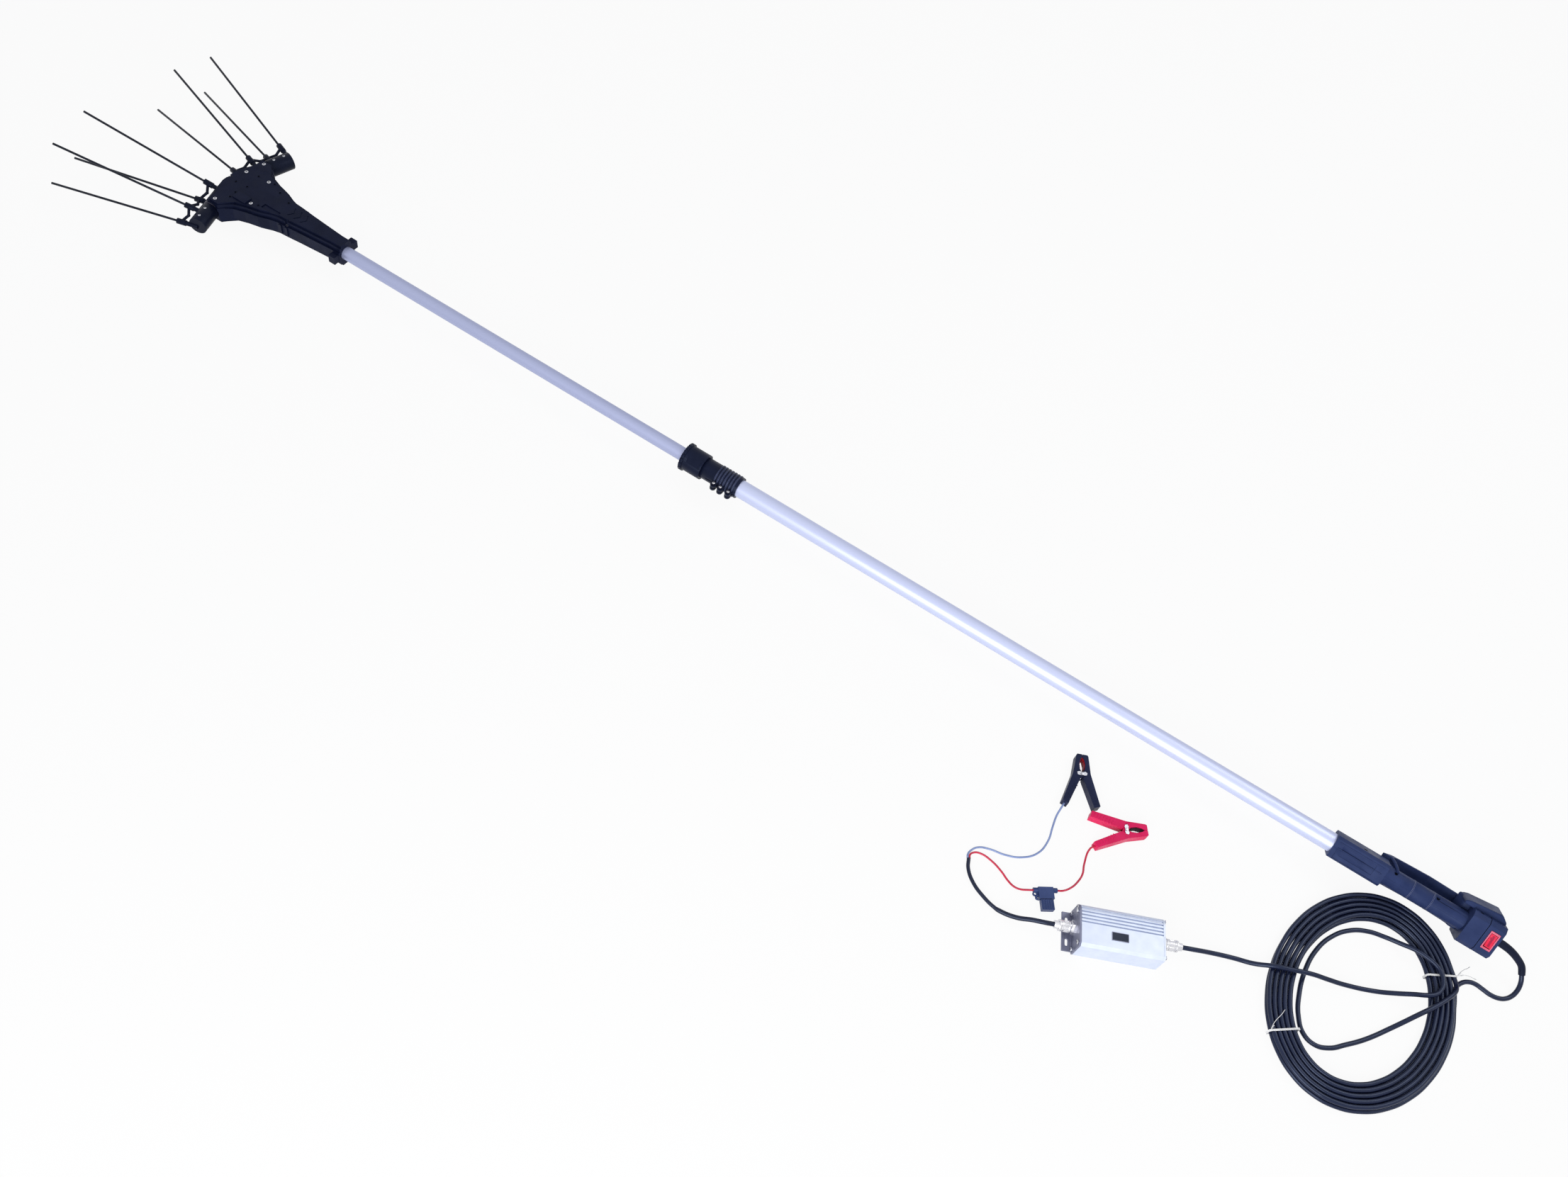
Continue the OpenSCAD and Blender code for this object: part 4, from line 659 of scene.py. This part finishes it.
def add_boot(skins):
    """The bend relief where the cord leaves the handle."""
    sleeve = moved(horn(BOOT_ROUTE, BOOT_RADII, BOOT_SIDES), placed(0, 0, FLOOR_MM))
    flange = moved(lathe(BOOT_FLANGE, BOOT_FLANGE_SIDES), placed(BOOT_X, 0) @ turned(-90, "Y"))
    boot = add_piece("boot_sleeve", join(sleeve, flange), skins["boot_rubber"], ROOT)
    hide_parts("cord_boot")


# Screw heads: share of the radius and height of the dome, and the cross in it
SCREW_DOME = [(1, -0.2), (1, 0.25), (0.8, 0.6), (0.45, 0.8)]
SCREW_SIDES = 24
CROSS_ARM = 0.62
CROSS_HALF = 0.14
CROSS_Z = (0.4, 0.9)


def screw_face(radius, into):
    """A low domed head over a screw, and a raised cross in it painted near black as the shade of its slot,
    as two shapes.
    """
    dome = lathe([(radius * share, height) for share, height in SCREW_DOME], SCREW_SIDES)
    arm = radius * CROSS_ARM
    half = radius * CROSS_HALF
    cross = prism([
        (arm, half), (half, half), (half, arm), (-half, arm), (-half, half), (-arm, half),
        (-arm, -half), (-half, -half), (-half, -arm), (half, -arm), (half, -half), (arm, -half),
    ], *CROSS_Z)
    return moved(dome, into), moved(cross, into)


def add_screws(name, radius, places, look, skins, body=ROOT):
    pairs = [screw_face(radius, into) for into in places]
    add_piece(name + "_heads", join(*[p[0] for p in pairs]), skins[look], body)
    # The crosses are near black: painted shade in the screw slots
    add_piece(name + "_cross_shades", join(*[p[1] for p in pairs]), skins["painted_shade_and_seam_black"], body)


CLAMP_X = 1286
EAR_AT = (10, 26, 40)
EAR_Y = 25
CLAMP_SCREW_R = 2.3
CLAMP_SCREW_TOP = 8.6
NECK_X = 2149
HEAD_LEN = 300
HEAD_HALF = 73
HEAD_TOP = 23
HEAD_SCREW_R = 3.4
# Shares of the head's length and half width
HEAD_SCREWS = [(0.886, 0.86), (0.886, -0.86), (0.915, -0.36), (0.75, -0.44), (0.7, 0.42)]
HEAD_HOLES = [
    (250.5, 26.9), (249, 42.2), (270, 5.4), (249.1, -31.3), (213, -34.9), (245, 2.9), (196, 26),
    (190, -24), (160, -14),
]
HOLE_RIM = [(2.9, -0.3), (2.9, 0.2), (2.5, 0.5), (2.1, 0.35), (1.9, 0.02)]
HOLE_RIM_SIDES = 24
# A flat near-black disc in each hole: painted shade standing in for the hole's depth
HOLE_SHADE_DISC = [(1.95, -0.1), (1.95, 0.1), (1.2, 0.06)]
HOLE_SHADE_SIDES = 20
APEX_X = 2441
COMB_SWEEP = math.radians(16)
HUB_R = 16.5
HUB_SCREWS = (92, 113)
HUB_SCREW_R = 2.4
BOX_HALF = 63.5
PLATE_T = 3
BOX_SCREW_R = 3.1
BOX_SCREW_Y = 28.15
BOX_SCREW_Z = (6.6, 38.4)
BOX_SCREW_HEAD = 1.8


def box_into():
    return placed(*BOX_AT, FLOOR_MM) @ turned(BOX_TURN, "Z")


def fasten(skins):
    add_screws("clamp_screw", CLAMP_SCREW_R, [
        placed(CLAMP_X + x, EAR_Y, CLAMP_SCREW_TOP) for x in EAR_AT
    ], "nickel", skins)
    add_screws("head_screw", HEAD_SCREW_R, [
        placed(NECK_X + x * HEAD_LEN, y * HEAD_HALF, HEAD_TOP) for x, y in HEAD_SCREWS
    ], "steel", skins, HEAD_BODY)
    for name, side in (("left", 1), ("right", -1)):
        add_screws(f"{name}_hub_screw", HUB_SCREW_R, [
            placed(APEX_X - run * math.sin(COMB_SWEEP), side * run * math.cos(COMB_SWEEP), HUB_R)
            for run in HUB_SCREWS
        ], "steel", skins, f"comb_{name}")
    end = BOX_HALF + PLATE_T + BOX_SCREW_HEAD
    add_screws("box_screw", BOX_SCREW_R, [
        box_into() @ placed(side * end, y, z) @ turned(90 * side, "Y")
        for side in (1, -1) for y in (BOX_SCREW_Y, -BOX_SCREW_Y) for z in BOX_SCREW_Z
    ], "nickel", skins)


def add_head_details(skins):
    rims = []
    hole_shades = []
    for x, y in HEAD_HOLES:
        into = placed(NECK_X + x, y, HEAD_TOP)
        rims.append(moved(lathe(HOLE_RIM, HOLE_RIM_SIDES), into))
        hole_shades.append(moved(lathe(HOLE_SHADE_DISC, HOLE_SHADE_SIDES), into))
    add_piece("head_hole_rims", join(*rims), skins["head_plastic"], HEAD_BODY)
    # Near-black discs inside the rims: painted shade where the holes are
    add_piece("head_hole_shades", join(*hole_shades), skins["painted_shade_and_seam_black"], HEAD_BODY)


# Battery clips; heights are above the floor
CLIP_JAW = 36
CLIP_GRIP = 11
# Shares of the jaw's length and of its grip's width
JAW_EDGE = [(0.25, 0.36), (0.5, 0.46), (0.75, 0.26), (0.86, 0.036)]
LINING_T = 1.1
LINING_SINK = 0.3
LINING_CLEAR = 0.35
LINING_TOOTH = 0.5
LINING_TEETH = 9
LINING_Z = (1.5, 14.5)
RIDGE_AT = (24, 29, 34, 39, 44, 49, 54)
RIDGE_X = (-0.9, 0.9)
RIDGE_Y = (-3.4, 3.4)
RIDGE_Z = (15.7, 16.6)
RIDGE_ROUND = 0.35
PLATE = [
    (-2.2, -1.2), (-2.6, 4.4), (-1.4, 7.6), (2.6, 8.4), (4.4, 5), (2.4, -1.2), (1.6, -2.5), (0, -3.2),
    (-1.6, -2.5),
]
PLATE_FIXED_Z = (15.8, 16.8)
PLATE_MOVING_Z = (16.95, 17.6)
PLATE_PAD = [(-2.2, 4.6), (-1.2, 7.2), (2.4, 8), (3.8, 4.8)]
PLATE_PAD_Z = (15.8, 17)
PLATE_ROUND = 0.2
RIVET = [(2, 0), (2, 1.75), (2.7, 1.75), (2.7, 2.2), (2.4, 2.9), (1, 3.1)]
RIVET_SIDES = 24


def jaw_lining():
    """A toothed strip along the inner edge of a jaw."""
    edge = [Vector((x * CLIP_JAW, y * CLIP_GRIP)) for x, y in JAW_EDGE]
    outer = [(p.x, p.y + LINING_SINK) for p in edge]
    inner = []
    for k in range(LINING_TEETH * 2 + 1):
        u = k / (LINING_TEETH * 2) * (len(edge) - 1)
        i = min(int(u), len(edge) - 2)
        p = edge[i].lerp(edge[i + 1], u - i)
        notch = LINING_TOOTH if k % 2 else 0
        inner.append((p.x, max(LINING_CLEAR, p.y - LINING_T + notch)))
    return prism(outer + inner[::-1], *LINING_Z)


def clip_ridges():
    """Bars across the top of a clip's handle."""
    bar = slab(RIDGE_X, RIDGE_Y, RIDGE_Z)
    return join(*[moved(bar, turned(180 - CLIP_SPREAD, "Z") @ placed(run, 0)) for run in RIDGE_AT])


def add_clip_details(name, clip, jaw_body, jaw_side, lining, look, skins):
    into = placed(clip[0], clip[1], FLOOR_MM) @ turned(clip[2], "Z")
    for side in (1, -1):
        moving = side == jaw_side
        body = jaw_body if moving else ROOT
        half = "jaw" if moving else "fixed"
        flip = into @ Matrix.Diagonal((1, side, 1, 1))
        add_piece(f"{name}_{half}_lining", jaw_lining(), skins[lining], body, into=flip)
        add_piece(f"{name}_{half}_ridges", clip_ridges(), skins[look], body, RIDGE_ROUND, flip)
        if moving:
            plate = join(prism(PLATE, *PLATE_MOVING_Z), prism(PLATE_PAD, *PLATE_PAD_Z))
        else:
            plate = prism(PLATE, *PLATE_FIXED_Z)
        add_piece(f"{name}_{half}_plate", plate, skins["steel"], body, PLATE_ROUND, flip)
    add_piece(f"{name}_rivet", lathe(RIVET, RIVET_SIDES), skins["steel"], ROOT,
              into=into @ placed(0, 0, CLIP_H))


# Control box and fuse holder
NUT_LEN = 6
KNURL = [(8, 5.5), (8.9, 5.8), (8.9, 12.2), (8, 12.5)]
KNURL_TEETH = 24
KNURL_SIDES = 96
KNURL_DEPTH = 0.5
COLLAR = [(8, 15), (8.7, 15.2), (8.7, 16.6), (8, 16.8)]
COLLAR_SIDES = 40
LABEL_AT = (4, 11)
LABEL_HALF = (13, 6.5)
LABEL_BORDER = 0.7
LABEL_BORDER_Z = (44.4, 44.85)
FUSE_CAP_Y = (17, 31)
FUSE_RIBS = (-7.5, -3.75, 0, 3.75, 7.5)
FUSE_RIB_HALF = 0.8
FUSE_RIB_Z = (4.8, 5.7)
FUSE_RIB_ROUND = 0.3
FUSE_EAR = [(9, 8, 0), (13, 8.6, 0), (15.6, 10.8, 0), (15.8, 13.6, 0), (13.6, 15.2, 0)]
FUSE_EAR_RADII = (2.4, 2.1, 1.9, 1.8, 1.5)
FUSE_EAR_SIDES = 12


def frame_bars(half_x, half_y, width, z):
    """A thin raised border round a rectangle."""
    bars = []
    for s in (1, -1):
        bars.append(slab((-half_x, half_x), (s * half_y, s * (half_y - width)), z))
        bars.append(slab((s * half_x, s * (half_x - width)), (width - half_y, half_y - width), z))
    return join(*bars)


def add_box_details(skins):
    end = BOX_HALF + PLATE_T + NUT_LEN
    for name, side in (("battery", 1), ("pole", -1)):
        into = box_into() @ placed(side * end, 0, PLUG_Z) @ turned(90 * side, "Y")
        grip = join(lathe(KNURL, KNURL_SIDES, KNURL_TEETH, KNURL_DEPTH), lathe(COLLAR, COLLAR_SIDES))
        add_piece(f"{name}_connector_knurl", grip, skins["nickel"], ROOT, into=into)
    border = frame_bars(*LABEL_HALF, LABEL_BORDER, LABEL_BORDER_Z)
    add_piece("label_border", border, skins["plate_grey"], ROOT,
              into=box_into() @ placed(*LABEL_AT))


def add_fuse_details(skins):
    into = placed(*FUSE_AT, FLOOR_MM + FUSE_Z) @ turned(FUSE_TURN, "Z")
    ear = horn(FUSE_EAR, FUSE_EAR_RADII, FUSE_EAR_SIDES)
    add_piece("fuse_ear", ear, skins["fuse_blue"], ROOT, into=into)
    ribs = [slab((x - FUSE_RIB_HALF, x + FUSE_RIB_HALF), FUSE_CAP_Y, FUSE_RIB_Z) for x in FUSE_RIBS]
    add_piece("fuse_cap_ribs", join(*ribs), skins["fuse_blue"], "fuse_cover",
              FUSE_RIB_ROUND, into)


# Handle, in a frame rolled about the pole, and clamp
HANDLE_ROLL = 42
GRIP_R = 16
SEAMS = (23, 21.5, -10, -11.5)
SEAM_R = 0.3
# The grip's seams stop short of the trigger
SEAM_SPAN = (HANDLE_ROLL - 112, HANDLE_ROLL + 112)
STRUT = [(67, -27, 22), (63, -18, 22.5), (58, -7, 20.5), (54, 2, 17), (52, 7, 14.5)]
STRUT_RADII = (3.4, 3, 2.7, 2.5, 2.2)
STRUT_SIDES = 14
# Raised lines on the socket's face: run along the pole, and place across the face
SOCKET_LINES = [
    ((74, 150), (-12.2, -10.5)), ((74, 148.4), (-1.9, -0.7)), ((80, 148.4), (16.2, 17.4)),
    ((147.2, 148.4), (-1.9, 17.4)),
]
SOCKET_LINE_Z = (19.3, 20.3)
SOCKET_LINE_ROUND = 0.35
SHOULDER = [(-70, -9), (-70, -34), (-53, -34), (-47, -29), (-56, -11)]
SHOULDER_Z = (-22, 33)
# Outline of the raised back of the block, and how far it reaches across
CROWN = [(-120, -27), (-120, -32), (-109, -41), (-60, -36), (-52, -33), (-52, -27)]
CROWN_Y = (-33.8, 7)
BLOCK_ROUND = 3
BLOCK_LOW = 34
BLOCK_HIGH = 24
BLOCK_HALF_T = 29
BLOCK_CHAMFER = 7
CAP_X = -95
CAP_SEAM_R = 0.45
SWITCH_X = -109
ROCKER_AXIS = 1.6
ROCKER_TILT = 8
ROCKER_FACE = [(-9.4, 4.6), (0, 3.6), (9.4, 4.6)]
ROCKER_MARK = (-1.6, 1.8)
ROCKER_NOTCH_FACE = [(2, 3.82), (3.8, 4.0), (5.6, 4.2)]
ROCKER_NOTCH = (-3.6, -1.6)
ROCKER_MARK_T = 0.5
ROCKER_MARK_LIFT = 0.15
CLAMP_RIB_R = 20.4
RIB_FIRST = 6
RIB_PITCH = 6
RIB_LEN = 1.6
RIB_COUNT = 7
RIB_EDGE_R = 0.22
HOOP_STEPS = 48
THIN_SIDES = 6


def hoop(x, radius, thickness, span=(0, 360)):
    """A thin ring round the pole's axis, or an arc of one over a span of angles."""
    closed = span[1] - span[0] >= 360
    count = HOOP_STEPS if closed else HOOP_STEPS + 1
    loop = []
    for k in range(count):
        t = math.radians(span[0] + (span[1] - span[0]) * k / HOOP_STEPS)
        loop.append((x, radius * math.cos(t), radius * math.sin(t)))
    return sweep(loop, [thickness] * count, THIN_SIDES, closed)


def cap_seam():
    """The dark line where the end cap meets the block, round its chamfered outline."""
    path = []
    for y, z in ((BLOCK_HIGH, BLOCK_HALF_T), (BLOCK_HIGH, -BLOCK_HALF_T), (-BLOCK_LOW, -BLOCK_HALF_T),
                 (-BLOCK_LOW, BLOCK_HALF_T)):
        corner = [(y - math.copysign(BLOCK_CHAMFER, y), z), (y, z - math.copysign(BLOCK_CHAMFER, z))]
        path += [(CAP_X, *p) for p in (corner if y * z > 0 else corner[::-1])]
    return sweep(path[::-1], [CAP_SEAM_R] * len(path), THIN_SIDES, True)


def face_strip(face, across):
    """A thin strip that follows a face's outline."""
    return prism(face + [(z, y - ROCKER_MARK_T) for z, y in face[::-1]], *across)


def add_handle_details(skins):
    roll = turned(HANDLE_ROLL, "X")
    lying = roll @ turned(-90, "X")
    seams = [hoop(x, GRIP_R, SEAM_R, SEAM_SPAN) for x in SEAMS]
    lines = [slab(x, y, SOCKET_LINE_Z) for x, y in SOCKET_LINES]
    parts = [
        # The grip's seams are thin tubes coloured as painted highlight along their edges
        ("grip_seams", join(*seams), "painted_edge_highlight", 0, Matrix()),
        ("guard_strut", horn(STRUT, STRUT_RADII, STRUT_SIDES), "handle_plastic", 0, roll),
        ("socket_lines", join(*lines), "handle_plastic", SOCKET_LINE_ROUND, lying),
        ("block_shoulder", prism(SHOULDER, *SHOULDER_Z), "handle_plastic", BLOCK_ROUND, roll),
        ("block_crown", prism(CROWN, *CROWN_Y), "handle_plastic", BLOCK_ROUND, lying),
        ("block_seam", cap_seam(), "painted_shade_and_seam_black", 0, roll),
    ]
    for name, shape, look, rounding, into in parts:
        add_piece(name, shape, skins[look], ROOT, rounding, into)
    mark = join(face_strip(ROCKER_FACE, ROCKER_MARK), face_strip(ROCKER_NOTCH_FACE, ROCKER_NOTCH))
    rocker = roll @ placed(SWITCH_X, BLOCK_HIGH - ROCKER_AXIS) @ turned(ROCKER_TILT, "X") @ turned(-90, "Y")
    add_piece("rocker_mark", mark, skins["rocker_dark"], "rocker_piece",
              into=rocker @ placed(0, ROCKER_MARK_LIFT))


def add_clamp_details(skins):
    # Thin rings at both edges of each rib, coloured as painted highlight where the edges catch the light
    rings = []
    for i in range(RIB_COUNT):
        x = CLAMP_X + RIB_FIRST + i * RIB_PITCH
        rings += [hoop(edge, CLAMP_RIB_R, RIB_EDGE_R) for edge in (x, x + RIB_LEN)]
    add_piece("clamp_rib_edge_highlights", join(*rings), skins["painted_edge_highlight"], ROOT)


def add_details(skins):
    add_boot(skins)
    fasten(skins)
    add_head_details(skins)
    add_clip_details("black_clip", BLACK_CLIP, "black_moving_jaw", -1, "jaw_red", "clip_black", skins)
    add_clip_details("red_clip", RED_CLIP, "red_moving_jaw", 1, "jaw_dark", "clip_red", skins)
    add_box_details(skins)
    add_fuse_details(skins)
    add_handle_details(skins)
    add_clamp_details(skins)


# Floor and light
FLOOR_HALF = 7
FLOOR_MIDDLE = 1
FLOOR_ROUGHNESS = 0.9
FLOOR_COLOUR = (0.9, 0.9, 0.91, 1)
FLOOR_WHITE = 0.92
WORLD_COLOUR = (0.95, 0.97, 1, 1)
WORLD_STRENGTH = 0.38
WORLD_WHITE = 0.96
WHITE = (1, 1, 1, 1)
# Place, aim, size and power of each lamp
LAMPS = {
    "overhead": ((0.9, 0.3, 3.2), (0.9, 0.1, 0), 2.2, 4),
    "back": ((-0.95, -1.5, 2.9), (0.1, 0.2, 0), 1.6, 22),
    "front": ((0.3, 2.6, 1.2), (0.5, 0.2, 0), 2, 60),
}


def seen_directly(owner):
    """A node that is 1 for rays from the camera or from a glossy surface, and 0 for others."""
    path = add_node(owner, "ShaderNodeLightPath")
    either = add_node(owner, "ShaderNodeMath")
    either.operation = "MAXIMUM"
    link(owner, path, "Is Camera Ray", either, 0)
    link(owner, path, "Is Glossy Ray", either, 1)
    return either


def add_floor():
    mesh = bpy.data.meshes.new("floor")
    corners = [
        (x * FLOOR_HALF + FLOOR_MIDDLE, y * FLOOR_HALF, FLOOR_Z)
        for x, y in ((-1, -1), (1, -1), (1, 1), (-1, 1))
    ]
    mesh.from_pydata(corners, [], [(0, 1, 2, 3)])
    floor = bpy.data.objects.new("floor", mesh)
    bpy.context.scene.collection.objects.link(floor)
    material = shader("floor", FLOOR_ROUGHNESS, Base_Color=FLOOR_COLOUR, Specular_IOR_Level=0)
    nodes = material.node_tree.nodes
    share = add_node(material, "ShaderNodeMath")
    share.operation = "MULTIPLY"
    share.inputs[1].default_value = FLOOR_WHITE
    white = add_node(material, "ShaderNodeEmission", Color=WHITE, Strength=1)
    mix = add_node(material, "ShaderNodeMixShader")
    link(material, seen_directly(material), 0, share, 0)
    link(material, share, 0, mix, 0)
    link(material, nodes["Principled BSDF"], "BSDF", mix, 1)
    link(material, white, "Emission", mix, 2)
    link(material, mix, "Shader", nodes["Material Output"], "Surface")
    skin(floor, material)


def add_world():
    world = bpy.data.worlds.new("studio")
    world.use_nodes = True
    nodes = world.node_tree.nodes
    plain = nodes["Background"]
    plain.inputs["Color"].default_value = WORLD_COLOUR
    plain.inputs["Strength"].default_value = WORLD_STRENGTH
    white = add_node(world, "ShaderNodeBackground", Color=WHITE, Strength=WORLD_WHITE)
    mix = add_node(world, "ShaderNodeMixShader")
    link(world, seen_directly(world), 0, mix, 0)
    link(world, plain, "Background", mix, 1)
    link(world, white, "Background", mix, 2)
    link(world, mix, "Shader", nodes["World Output"], "Surface")
    bpy.context.scene.world = world


def add_lamps():
    for name, (at, aim, size, power) in LAMPS.items():
        data = bpy.data.lights.new(name, "AREA")
        data.size = size
        data.energy = power
        lamp = bpy.data.objects.new(name, data)
        lamp.location = at
        lamp.rotation_euler = (Vector(aim) - Vector(at)).to_track_quat("-Z", "Y").to_euler()
        bpy.context.scene.collection.objects.link(lamp)


add_camera()
materials = make_materials()
lay_cords(materials)
dress_nodes(materials)
add_details(materials)
add_floor()
add_world()
add_lamps()
bpy.context.scene.view_settings.view_transform = "Standard"
